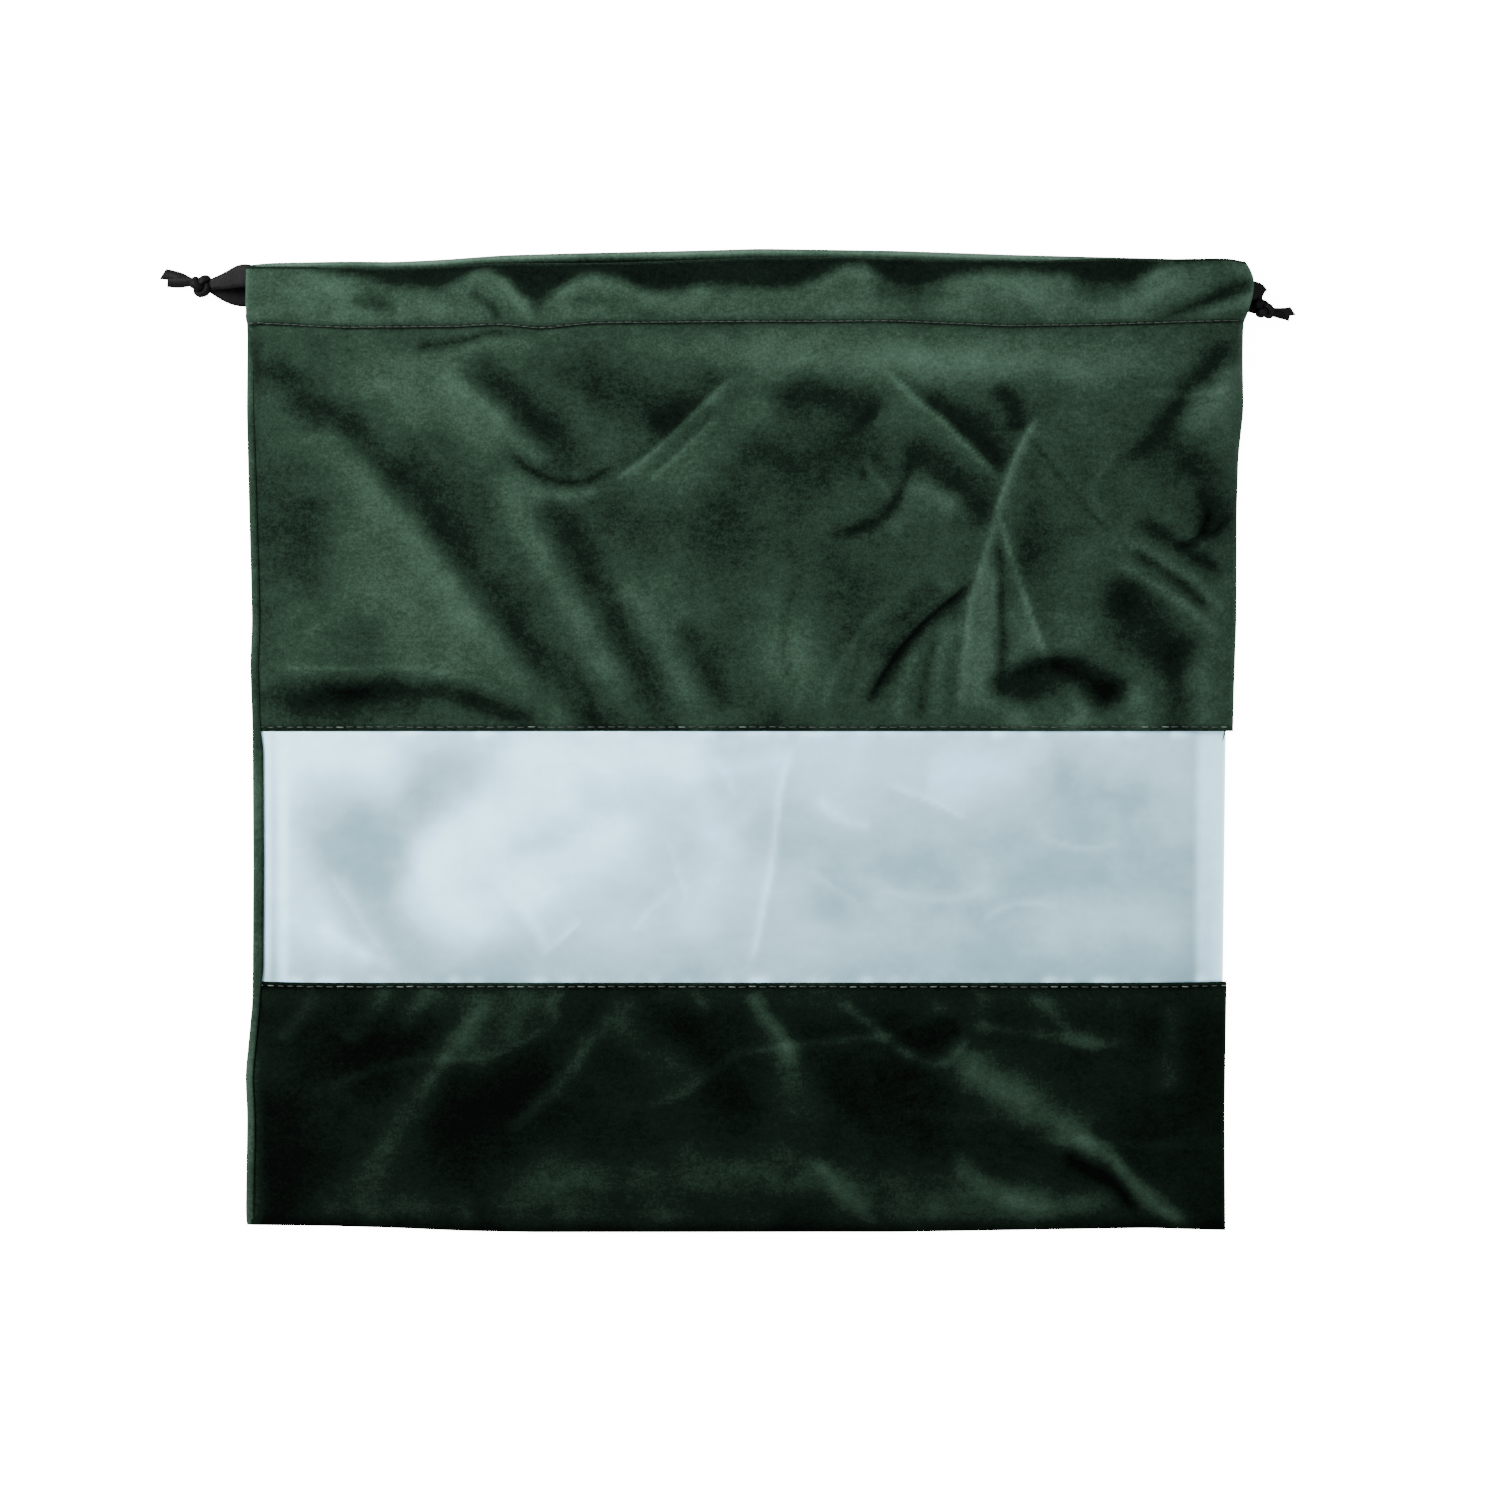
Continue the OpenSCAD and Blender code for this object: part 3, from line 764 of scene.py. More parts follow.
# Folds of the casing, their tones painting light and shade
CASING_FOLDS = [
    fold(3, -0.5, -0.45, (-158, 179), (-148, 177), (-138, 173)),
    fold(3, 0.4, 0.25, (-176, 186), (-164, 182), (-150, 182)),
    fold(2.5, 0.4, 0.20, (-132, 178), (-122, 174), (-116, 170)),
    fold(2.2, 0.8, 0.42, (-112, 183), (-104, 187), (-95, 183), (-89, 176), (-80, 169)),
    fold(2.0, -0.7, -0.55, (-110, 180), (-102, 176), (-96, 168)),
    fold(3.2, -0.8, -0.60, (-94, 184), (-86, 179), (-78, 174)),
    fold(3, 0.5, 0.28, (-76, 178), (-66, 183), (-54, 183)),
    fold(2.5, -0.4, -0.30, (-70, 174), (-60, 176), (-48, 175)),
    fold(3, 0.4, 0.22, (-44, 176), (-30, 173), (-14, 174)),
    fold(2.5, -0.4, -0.30, (-16, 184), (-12, 179), (-4, 176)),
    fold(3, 0.4, 0.22, (28, 180), (40, 185), (50, 182)),
    fold(5, -0.6, -0.45, (56, 181), (66, 179), (76, 180)),
    fold(4, 0.5, 0.26, (84, 178), (104, 180), (126, 178)),
    fold(5, -0.7, -0.50, (128, 183), (142, 181), (156, 184)),
    fold(3, 0.5, 0.25, (146, 174), (160, 178), (176, 184)),
    fold(3.2, -0.9, -0.65, (204, 183), (188, 177), (174, 172), (160, 168)),
    fold(2.5, 0.5, 0.25, (202, 176), (192, 172), (182, 169)),
]

# How far the film's sewn edges drop below the velvet
TUCKED = 2.0

# Tone of each cloth where no fold changes it, and how strongly its folds' painted light and shade change
# it. The lower velvet is painted darker, as its turned pile catches less light
UPPER_TONE, UPPER_CONTRAST = -0.08, 0.74
LOWER_TONE, LOWER_CONTRAST = -0.78, 0.78
FILM_TONE, FILM_CONTRAST = 0.08, 1.2

# Tone that the film's painted reflections level off to
FILM_BRIGHTEST = 1.0

# Where the front casing begins to turn down into the mouth, as (x, y) points
TURN_DOWN = [
    (-200, 191), (-180, 190), (-170, 188.7), (-159, 186.6), (-148, 184.5), (-139, 182.4),
    (-128, 181.2), (-117, 181.7), (-111, 185.2), (-106, 187.3), (-100, 186.3), (-94, 182),
    (-88, 178.5), (-82, 177), (-76, 178), (-71, 181.5), (-65, 184.5), (-55, 184.5),
    (-48, 182.4), (-41, 179), (-31, 177.6), (-18, 180), (-8, 179.4), (2, 178), (14, 177.6),
    (27, 181), (37, 186), (44, 188.4), (51, 185.4), (58, 179.6), (69, 178.4), (79, 183),
    (92, 185), (112, 186), (128, 184), (138, 180.6), (147, 180), (157, 184), (169, 188),
    (182, 189.5), (200, 191),
]

# How far the front's edge at the mouth, the back's edge there and the bottom's edge wander from
# straight, as (x, rise) points
MOUTH_EDGE = [
    (-200, -2.6), (-170, -2.7), (-140, -3.1), (-118, -1.9), (-97, -0.9), (-55, -0.8),
    (-18, 0.4), (0, 1.2), (37, 1.3), (76, 0.6), (115, 0.0), (146, 0.8), (168, 0.4), (190, 0.6),
    (196, 0.4), (200, -1.2),
]
BACK_EDGE = [
    (-200, -5.2), (-192, -4.1), (-160, -3.5), (-140, -3.7), (-120, -2.7), (-97, -1.0), (-69, -0.2),
    (-18, 0.9), (6, 1.6), (60, 0.8), (107, -0.8), (146, -1.8), (177, -2.6), (192, -2.6), (197, -3.4),
    (200, -5.6),
]
BOTTOM_WAVE = [
    (-200, 0.5), (-168, 0.1), (-140, -0.7), (-112, -1.9), (-84, -2.4), (60, -2.3), (112, -1.5),
    (168, -0.7), (200, -1.6),
]

# How far the stitched line of the front casing wanders from straight, as (x, rise) points
STITCH_WAVE = [
    (-200, -1.4), (-160, -3.4), (-114, -3.0), (-98, -2.0), (-81, -3.8), (-61, -1.6), (-20, -1.2),
    (60, -0.8), (105, -2.8), (142, -2.2), (200, -0.4),
]


def mouth_edge(x):
    return MOUTH_Y + between(MOUTH_EDGE, x)


def turn_down(x, y):
    """How far a point is turned down into the mouth, 0 to 1, and the drop that this gives."""
    start = between(TURN_DOWN, x) + 0.9 * noise_mm(x, y, 9, 41.0)
    s = np.clip((y - start) / np.maximum(mouth_edge(x) - start, 0.5), 0, 1)
    deep = 4.2 - 2.4 * smooth((np.abs(x) - 110) / 30)
    return smooth((y - start + 2) / 6.4), deep * s * s


def lay_rows(x, y, front=True):
    """Brings flat places to where the bottom, the front's stitched line and the mouth lie."""
    y = y + between(BOTTOM_WAVE, x) * smooth((BOTTOM_Y + 60 - y) / 60)
    edge = between(MOUTH_EDGE if front else BACK_EDGE, x)
    hem = (y - STITCH_Y) / ((MOUTH_Y if front else BACK_Y) - STITCH_Y)
    wave = between(STITCH_WAVE, x) * smooth((y - STITCH_Y + 45) / 45) * (1 - np.clip(hem, 0, 1))
    return y + edge * np.clip(hem, 0, 1) + (wave if front else 0)


def edge_calm(distance, width):
    """0 at a seam, 1 away from it."""
    return smooth(distance / width)


def velvet_relief(x, y, folds, seed, contrast):
    """The folds and the small unevenness of soft cloth, calmer at the sides."""
    high, tone = relief(x, y, folds, seed)
    high = high + 0.9 * noise_mm(x, y, 70, seed + 3, 2) + 0.25 * noise_mm(x, y, 14, seed + 5)
    tone = contrast * tone + 0.18 * noise_mm(x, y, 42, seed + 9)
    calm = 0.15 + 0.85 * edge_calm(HALF_W - np.abs(x), 12)
    return high * calm, tone


def painted_slope_shading(z, x, y, amount):
    """Painted shading by slope, standing for velvet's pile catching the light: what leans to the mouth is
    painted darker, what leans from it lighter.
    """
    dz_dy = np.gradient(z, axis=0) / np.gradient(y, axis=0)
    dz_dx = np.gradient(z, axis=1) / np.gradient(x, axis=1)
    return amount * np.clip(dz_dy - 0.5 * dz_dx, -1, 1)


# ---------------------------------------------------------------- the front


def side_columns(half):
    """The x of a half's grid columns: half is -1 for the left and 1 for the right."""
    if half < 0:
        return edged(-HALF_W, 0, GRID, at_high=False)
    return edged(0, HALF_W, GRID, at_low=False)


# Rows of a hem's fold, of its flap, and of the stretch in which the flap comes level again
HEM_TURNS, FLAP_ROWS, LEVELLING = 8, 12, 8

# How far in from the side the flap's end lies, and what each of its last rows counts as when its end
# is rounded
FLAP_IN, LAST_ROWS = 5.5, 0.4

# Tones of painted shade for the front's turned edge, the front's flap and the back's, which turn down into
# the mouth
TURNED_SHADE, FLAP_SHADE, BACK_FLAP_SHADE = -0.45, -0.3, -0.7


def with_hem(x, y, z, drop):
    """A panel's grid with the fold at its last row and the flap that goes back down inside the mouth.
    drop is how far that row has gone down into the mouth. The last value is how far each place of the
    flap is drawn in from the side."""
    r = HEM_GAP / 2
    edge_y, edge_z = y[-1], z[-1]
    turns = np.radians(np.linspace(90, -90, HEM_TURNS + 1)[1:])[:, None]
    flap_y = np.linspace(edge_y, np.full_like(edge_y, STITCH_Y), FLAP_ROWS)[1:]
    still_down = np.linspace(1, 0, LEVELLING)[:, None] ** 2
    level = np.concatenate([still_down, np.zeros((len(flap_y) - LEVELLING, 1))])
    hem_y = np.concatenate([edge_y + r * np.cos(turns), flap_y])
    hem_z = np.concatenate([edge_z - r + r * np.sin(turns), edge_z - 2 * r + drop * (1 - level)])
    drawn_in = np.linspace(0, 1, len(flap_y))[:, None] ** 0.5 * FLAP_IN
    drawn_in = np.concatenate([np.zeros((len(y) + HEM_TURNS, 1)), drawn_in])
    all_x = np.broadcast_to(x[0], (len(drawn_in), x.shape[1]))
    drawn_in = drawn_in * smooth((np.abs(all_x) - 120) / 80)
    return all_x, np.concatenate([y, hem_y]), np.concatenate([z, hem_z]), drawn_in


def end_shares(from_first, first_r, from_last):
    """How much thickness is left in each row, by its distance from a panel's first edge and its last."""
    return np.minimum(rounded(from_first, first_r), rounded(from_last, END_R))[:, None]


def front_casing(x, y):
    """Height, tone and how much the casing rules, for the front above its stitched line."""
    over, drop = turn_down(x, y)
    above = smooth((y - STITCH_Y) / 3)
    high, tone = relief(x, y, CASING_FOLDS, 61.0)
    swell = 0.7 * np.sin(np.pi * np.clip((y - STITCH_Y) / (MOUTH_Y - STITCH_Y), 0, 1))
    calm = smooth((MOUTH_Y - y) / 5)
    z = swell + high * calm + 0.3 * noise_mm(x, y, 15, 31.0, 2) - drop
    tone = 0.14 + 0.8 * tone + 0.2 * noise_mm(x, y * 2, 22, 37.0)
    # Painted shade where the casing turns down into the mouth
    tone = tone * (1 - over) - 0.72 * over
    return z, tone, above, drop


def make_front_upper(name, half):
    """The velvet from the window to the mouth and its hem turned inside, one half of it."""
    columns = side_columns(half)
    close = np.array([-2, -1.2, -0.7, -0.3, 0, 0.3, 0.7, 1.2, 2])
    rows = edged(WINDOW_Y1, MOUTH_Y - HEM_GAP / 2, GRID, at_high=False)
    rows = np.unique(np.concatenate([rows, STITCH_Y + close]).round(4))
    x, y = np.meshgrid(columns, rows)
    high, tone = velvet_relief(x, y, UPPER_FOLDS, 11.0, UPPER_CONTRAST)
    casing_z, casing_tone, above, drop = front_casing(x, y)
    below = smooth((STITCH_Y - y) / 4)
    groove = near(y - STITCH_Y, 0.8) * (1 + 0.5 * noise_mm(x, 0 * y, 14, 43.0))
    seam = near(y - WINDOW_Y1 - ROW_IN, 0.7)
    seam_calm = 0.35 + 0.65 * edge_calm(y - WINDOW_Y1, 7)
    pucker = 0.35 * near(y - WINDOW_Y1 - 3, 3.5) * noise_mm(x, y * 0.2, 6, 35.0, 2)
    z = under(x, y) + CLOTH_T / 2 + high * below * seam_calm + casing_z * above
    z = z - 1.1 * groove + pucker - 0.35 * seam
    # Painted shade in the stitched groove, along the window seam's line and at the velvet's edge by the
    # window; painted shading by slope below the casing; a painted highlight along the sides
    tone = UPPER_TONE + tone * below + (casing_tone - UPPER_TONE) * above - 0.8 * groove
    tone = tone + painted_slope_shading(z, x, y, 0.4) * (1 - above)
    tone = tone - 0.25 * seam - 0.3 * near(y - WINDOW_Y1, 0.9) + 0.35 * near(HALF_W - np.abs(x), 1.2)

    x, y, z, drawn_in = with_hem(x, y, z, drop[-1])
    tone = np.concatenate([tone, np.full((len(z) - len(tone), len(columns)), FLAP_SHADE)])
    tone[len(rows) : len(rows) + HEM_TURNS // 2] = TURNED_SHADE
    left_in = (between(ROLL_SHOWS, y) - FRONT_OVER_ROLL) * smooth((STITCH_Y + 2 - y) / 6)
    left_in = left_in + CASING_IN * smooth((y - STITCH_Y) / 5)
    lay_x = lay_sides(x, y, left_in, RIGHT_SIDE) - half * drawn_in
    middle = np.stack([lay_x, lay_rows(x, y), z], 2)
    from_last = np.arange(len(y))[::-1] * LAST_ROWS
    end_t = end_shares(y[:, 0] - WINDOW_Y1, END_R, from_last)
    thickness = CLOTH_T * rounded(HALF_W - np.abs(columns), SIDE_R) * end_t
    return slab(name, middle, thickness, tone, VELVET, cut=-1 if half < 0 else 0)


def make_front_lower():
    """The velvet below the window. Its pile is turned so that it catches less light, and that darker look
    is painted into its tone.
    """
    columns = edged(-HALF_W, HALF_W, GRID)
    rows = edged(BOTTOM_Y, WINDOW_Y0, GRID)
    x, y = np.meshgrid(columns, rows)
    high, tone = velvet_relief(x, y, LOWER_FOLDS, 51.0, LOWER_CONTRAST)
    seam = near(WINDOW_Y0 - y - ROW_IN, 0.7)
    seam_calm = 0.35 + 0.65 * edge_calm(WINDOW_Y0 - y, 7)
    bottom_calm = 0.2 + 0.8 * edge_calm(y - BOTTOM_Y, 12)
    pucker = 0.45 * near(WINDOW_Y0 - y - 3, 3.5) * noise_mm(x, y * 0.2, 6, 57.0, 2)
    z = under(x, y) + CLOTH_T / 2 + high * seam_calm * bottom_calm + pucker - 0.35 * seam
    # Painted shading by slope and painted shade in the seam's line; lighter in a band below the window's
    # seam; painted highlights along the right side and at the left side near the bottom; painted shade
    # along the bottom edge
    tone = LOWER_TONE + tone + painted_slope_shading(z, x, y, 0.25) - 0.3 * seam
    tone = tone + 0.2 * near(WINDOW_Y0 - y - 6, 6) + 0.2 * near(WINDOW_Y0 - y, 1.4)
    tone = tone + 0.5 * near(HALF_W - x, 1.1)
    tone = tone - 0.4 * near(y - BOTTOM_Y, 4) + 0.45 * near(HALF_W + x - 1.2, 3) * smooth((-110 - y) / 30)
    lay_x = lay_sides(x, y, between(ROLL_SHOWS, y) - FRONT_OVER_ROLL, RIGHT_SIDE)
    middle = np.stack([lay_x, lay_rows(x, y), z], 2)
    end_t = end_shares(rows - rows[0], SIDE_R, rows[-1] - rows)
    thickness = CLOTH_T * end_t * rounded(HALF_W - np.abs(columns), SIDE_R)
    return slab("front_lower", middle, thickness, tone, VELVET_LOWER)


# How far from its sides the film's turned-in edges end
TURNED_LEFT, TURNED_RIGHT = 11, 14


def make_film():
    """The window: soft swells, creases, and puckers where it is sewn, with painted reflections as bright
    clouds and painted glints on the puckers. Its painted reflection is lighter towards the mouth and the
    left, and its sewn edges are tucked down below the velvet."""
    columns = edged(-HALF_W, HALF_W, FILM_GRID)
    rows = edged(film_low[1], film_high[1], FILM_GRID)
    x, y = np.meshgrid(columns, rows)
    high, tone = relief(x, y, FILM_FOLDS, 71.0)
    sewn = np.minimum(y - WINDOW_Y0, WINDOW_Y1 - y)
    calm = edge_calm(sewn - 1, 16) * edge_calm(HALF_W - np.abs(x) - 3, 20)
    puckers = np.clip(noise_mm(x, y * 0.12, 11, 73.0, 2) + 0.1, 0, 1)
    z = under(x, y) - 0.05 - FILM_T / 2 + high * calm + 0.25 * near(sewn, 4) * puckers
    z = z - TUCKED * smooth(-sewn / 4)
    z = np.maximum(z, CLOTH_T + FILM_T / 2)
    # Painted reflections: the folds' clouds, lighter towards the mouth and the left, painted glints on the
    # puckers and along the sewn edges; darker near the lower seam
    tone = FILM_TONE + FILM_CONTRAST * tone + 0.25 * noise_mm(x, y, 60, 77.0)
    tone = tone + 0.4 * (y - y.mean()) / (WINDOW_Y1 - WINDOW_Y0) - 0.28 * x / HALF_W
    tone = tone - 0.4 * near(y - WINDOW_Y0, 16)
    tone = tone + 1.5 * near(sewn - 0.5, 2.2) * puckers + 0.3 * near(sewn, 0.9)

    # the turned-in side edges show through as paler bands
    left, right = x + HALF_W, HALF_W - x
    tone = tone + 0.75 * near(left - TURNED_LEFT, 2.2) - 0.45 * near(left - 7, 1.0)
    tone = tone + 0.35 * near(left - 3, 2.5) + 1.1 * smooth((TURNED_RIGHT - right) / 5)
    tone = tone + 1.2 * near(right, 4)
    z = z + 0.25 * near(left - TURNED_LEFT, 1.5) * calm
    tone = FILM_BRIGHTEST * np.tanh(tone / FILM_BRIGHTEST)
    middle = np.stack([lay_sides(x, y, 1.5, RIGHT_FILM), y, z], 2)
    return slab("film_window", middle, np.full(x.shape, FILM_T), tone, FILM)


# ---------------------------------------------------------------- the back

# Radius of the roll at the left edge and of the turned-up right edge, and the angle each turns to
ROLL_R, ROLL_TURN = 1.5, 130
EDGE_R, EDGE_TURN = 0.45, 60

# Columns that a roll's turn has, and that its lip has
TURN_COLUMNS, LIP_COLUMNS = 12, 4


def back_side(half):
    """Flat x, height and lip share of the back's columns. At the left the edge rolls up and over, at
    the right it only turns up a little. The roll's lip goes from a share of 0 to 1 at its edge."""
    r, turned = (ROLL_R, ROLL_TURN) if half < 0 else (EDGE_R, EDGE_TURN)
    inner = HALF_W - r
    flat = spread([0, inner - 12], 4)
    flat = np.concatenate([flat, inner - np.array([9, 6, 4, 2.5, 1.2])])
    bends = np.radians(np.linspace(-90, turned, TURN_COLUMNS))
    x = np.concatenate([flat, inner + r * np.cos(bends)])
    lift = np.concatenate([0 * flat, r + r * np.sin(bends)])
    lip = np.zeros(len(x))
    if half < 0:
        steps = np.arange(1, LIP_COLUMNS + 1)
        x = np.concatenate([x, x[-1] - 0.01 * steps])
        lift = np.concatenate([lift, np.full(LIP_COLUMNS, lift[-1])])
        lip = np.concatenate([lip, steps / LIP_COLUMNS])
        return -x[::-1], lift[::-1], lip[::-1]
    return x, lift, lip


def make_back(name, half):
    """The back cloth, its side edge rolled up, and its hem turned inside at the mouth."""
    columns, lift, lip = back_side(half)
    rows = edged(BOTTOM_Y, STITCH_Y, 3, at_high=False)
    rows = np.unique(np.concatenate([rows, spread([STITCH_Y, BACK_Y - HEM_GAP / 2], 2)]).round(4))
    x, y = np.meshgrid(columns, rows)
    calm = smooth((y - BOTTOM_Y) / 8) * smooth((STITCH_Y + 3 - y) / 14)
    z = CLOTH_T / 2 + lift * (0.04 + 0.96 * calm)
    x, y, z, drawn_in = with_hem(x, y, -z, 0 * columns)  # upside down, as its hem goes up
    lay_x = lay_sides(x, y, 0 * x, RIGHT_BACK)
    lay_x = lay_x + lip * (between(ROLL_SHOWS, y) - LEAST_ROLL) - half * drawn_in
    # Painted highlights on the back's fold at the mouth and on the turn of its side edges, where the pile
    # catches the light; the roll's lip is darker below the window's top
    tone = 0.05 + 0.3 * noise_mm(x, y, 30, 91.0) + 0.75 * near(y - rows[-1], 5)
    beyond = smooth((np.abs(x) - HALF_W + ROLL_R) / ROLL_R)
    tone = tone + 0.25 * beyond * (1 - lip) - 0.55 * smooth((WINDOW_Y1 + 4 - y) / 8) * lip
    tone[len(rows) + HEM_TURNS :] = BACK_FLAP_SHADE
    middle = np.stack([lay_x, lay_rows(x, y, front=False), -z], 2)
    from_last = np.arange(len(y))[::-1] * LAST_ROWS
    end_t = end_shares(y[:, 0] - BOTTOM_Y, SIDE_R, from_last)
    thickness = CLOTH_T * np.broadcast_to(end_t, x.shape)
    return slab(name, middle, thickness, tone, VELVET, cut=-1 if half < 0 else 0)


# ---------------------------------------------------------------- inside edges and stitches

# Thickness of two raw edges, the height of their middle over the back and of the stitches in them
EDGES_T, EDGES_Z, EDGE_ROW_Z = 1.1, 0.7, 1.4


def make_seam_edge(name, x0, x1, y0, y1):
    """Two raw edges sewn together, lying a little wavy inside the sack."""
    along_y = y1 - y0 > x1 - x0
    columns = np.linspace(x0, x1, 12) if along_y else spread([x0, x1], 3)
    rows = spread([y0, y1], 3) if along_y else np.linspace(y0, y1, 12)
    x, y = np.meshgrid(columns, rows)
    z = CLOTH_T + EDGES_Z + 0.15 * noise_mm(x, y, 12, 83.0, 2)
    lay_x = lay_sides(x, y, 0, RIGHT_BACK)
    sides = np.minimum(rounded(x - x0, END_R), rounded(x1 - x, END_R))
    ends = np.minimum(rounded(y - y0, END_R), rounded(y1 - y, END_R))
    tone = -0.3 + 0.2 * noise_mm(x, y, 9, 85.0)
    return slab(name, np.stack([lay_x, y, z], 2), EDGES_T * sides * ends, tone, VELVET)


# A stitch's rings: place along it and width, as shares of its length and its radius
SPINDLE = ((-0.5, 0.25), (-0.38, 0.85), (0, 1), (0.38, 0.85), (0.5, 0.25))
SPINDLE_SIDES = 6

# How far a stitch's ends sink into the cloth, and how far its middle lies over it
SINK, STITCH_OVER = 0.28, 0.12

# Length and radius of a stitch, and of the ones inside the sack: in the raw edges, in the back's hem
STITCH_L, STITCH_R = 3.1, 0.24
EDGE_STITCH_L, HEM_STITCH_L, INNER_STITCH_R = 2.6, 2.4, 0.2

# Height in metres from which a ray is sent down on the cloth
RAY_Z = 0.1


def stitches(name, points, length=STITCH_L, radius=STITCH_R, glint_share=0.0):
    """One rounded stitch at each (middle, direction), each a small closed spindle. A share of them is
    painted pale, as glints where they catch the light."""
    draw = random.Random(name)
    up = np.array([0, 0, 1.0])
    vertices, faces, tone = [], [], []
    for middle, direction in points:
        direction = np.array(direction) / np.linalg.norm(direction)
        across = np.cross(up, direction)
        # Painted glint on a share of the stitches; the others get a darker tone at random
        pale = 0.8 if draw.random() < glint_share else draw.uniform(-0.9, -0.1)
        tone += [pale] * (SPINDLE_SIDES * len(SPINDLE))
        tube = tube_faces(len(vertices), len(SPINDLE), SPINDLE_SIDES)
        faces += [face[::-1] for face in tube]
        for place, wide in SPINDLE:
            sink = -SINK * (abs(place) > 0.4)
            centre = np.array(middle) + direction * place * length + up * sink
            for a in np.arange(SPINDLE_SIDES) * 2 * math.pi / SPINDLE_SIDES:
                vertices.append(centre + radius * wide * (math.cos(a) * across + math.sin(a) * up))
    made = new_object(name, vertices, faces, THREAD)
    set_tone(made, tone)
    return made


def surface_z(made, x, y):
    """Height of a made piece's top at a place, by a ray from above."""
    hit, place, _, _ = made.ray_cast(Vector((x * MM, y * MM, RAY_Z)), Vector((0, 0, -1)))
    return place.z / MM if hit else None


def stitch_row(name, pieces, x0, x1, y, pitch, glint_share=0.0):
    """Stitches along X on top of whichever piece lies there. y gives the row's place at an x."""
    draw = random.Random(name + "row")
    points = []
    for x in np.arange(x0, x1, pitch):
        place = (x + draw.uniform(-0.15, 0.15), float(y(x)) + draw.uniform(-0.12, 0.12))
        heights = [surface_z(piece, *place) for piece in pieces]
        heights = [h for h in heights if h is not None]
        if heights:
            points.append(((*place, max(heights) + STITCH_OVER), (1, draw.uniform(-0.05, 0.05), 0)))
    return stitches(name, points, glint_share=glint_share)


def inner_row(name, xs, ys, z, direction, length):
    """Stitches inside the sack, a little smaller than the others."""
    xs, ys = np.broadcast_arrays(xs, ys)
    points = [((x, y, z), direction) for x, y in zip(xs, ys, strict=True)]
    return stitches(name, points, length, INNER_STITCH_R)


# ---------------------------------------------------------------- ribbons

# A ribbon's section, as shares of half its width and half its thickness
TOP_SIDE = [(-1, 0), (-0.9, 0.8), (-0.5, 1), (0, 1), (0.5, 1), (0.9, 0.8)]
OUTLINE = TOP_SIDE + [(-a, -b) for a, b in TOP_SIDE]


def ribbon_strip(name, stations, cup=0.0):
    """A flat ribbon with rounded edges through (x, y, z, width, thickness, turn) stations.
    turn rolls the ribbon about its line, in degrees."""
    p = np.array([s[:3] for s in stations], float)
    tangent = np.gradient(p, axis=0)
    tangent /= np.linalg.norm(tangent, axis=1, keepdims=True)
    vertices = []
    for centre, t, s in zip(p, tangent, stations, strict=True):
        across = np.array([-t[1] * t[0], 1.05 - t[1] ** 2, -t[1] * t[2]])
        across /= np.linalg.norm(across)
        normal = np.cross(t, across)
        turn = math.radians(s[5])
        wide = math.cos(turn) * across + math.sin(turn) * normal
        thick = -math.sin(turn) * across + math.cos(turn) * normal
        for a, b in OUTLINE:
            bend = cup * (a * a - 0.4) * s[3] / 2
            vertices.append(centre + wide * a * s[3] / 2 + thick * (b * s[4] / 2 + bend))
    return new_object(name, vertices, tube_faces(0, len(stations), len(OUTLINE)), RIBBON)


# The drawstrings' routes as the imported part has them, with its lanes and exits: x, y, width. Only the
# right knot lies about a millimetre off its packed place
KNOT_R = 4
LOW_Z, HIGH_Z = 1.5, 9.5
BIGHT_R, BIGHT_IN = (HIGH_Z - LOW_Z) / 2, 5
RIBBON_W, BUNCHED_W, RIBBON_T = 9, 4.2, 0.5
LEFT_EXIT_Y, RIGHT_EXIT_Y = MOUTH_Y - 9.1, STITCH_Y + 7
LOWER_LANE, UPPER_LANE, BIGHT_LANE = STITCH_Y + 3.1, STITCH_Y + 7.7, RIGHT_EXIT_Y + 7.6
LEFT_KNOT = (-HALF_W - 17, LEFT_EXIT_Y, KNOT_R)
RIGHT_KNOT = (HALF_W + 7.4, RIGHT_EXIT_Y - 2.7, KNOT_R)

left_route = [
    (-HALF_W, LEFT_EXIT_Y, RIBBON_W),
    (35 - HALF_W, UPPER_LANE, BUNCHED_W),
    (HALF_W - 100, UPPER_LANE, BUNCHED_W),
    (HALF_W - 50, BIGHT_LANE, BUNCHED_W),
]
right_route = [(-HALF_W, RIGHT_EXIT_Y, RIBBON_W), (35 - HALF_W, LOWER_LANE, BUNCHED_W)]

# How the two runs part where they come out: (x past the side, y from the exit, width) of each
LEFT_FAN_HIGH = [(-14, 0.8, 6.5), (0, 3.8, 9.8), (5, 2.0, 7.6), (8.6, 1.2, 6.0), (12.4, 0.5, 4.8)]
LEFT_FAN_LOW = [(-14, -0.8, 6.5), (0, -4.2, 9.0), (5, -3.7, 8.0), (8.6, -2.7, 6.4), (12.4, -0.8, 4.4)]
RIGHT_FAN_HIGH = [(-8, 1.0, 7.0), (1.5, 4.8, 8.2), (4.8, 4.9, 7.2), (7.4, 4.4, 5.2), (6.6, 1.6, 4.8)]
RIGHT_FAN_LOW = [(-8, 0.6, 7.4), (0.5, 1.2, 8.2), (2.2, 0.4, 7.8), (3.8, -1.2, 6.2)]

# How far short of the knot's middle the runs end, and how far past it the tails start, at these heights
NECK = 2.5
TAIL_FROM, TAIL_Z = 2.6, (3.2, 5.2)


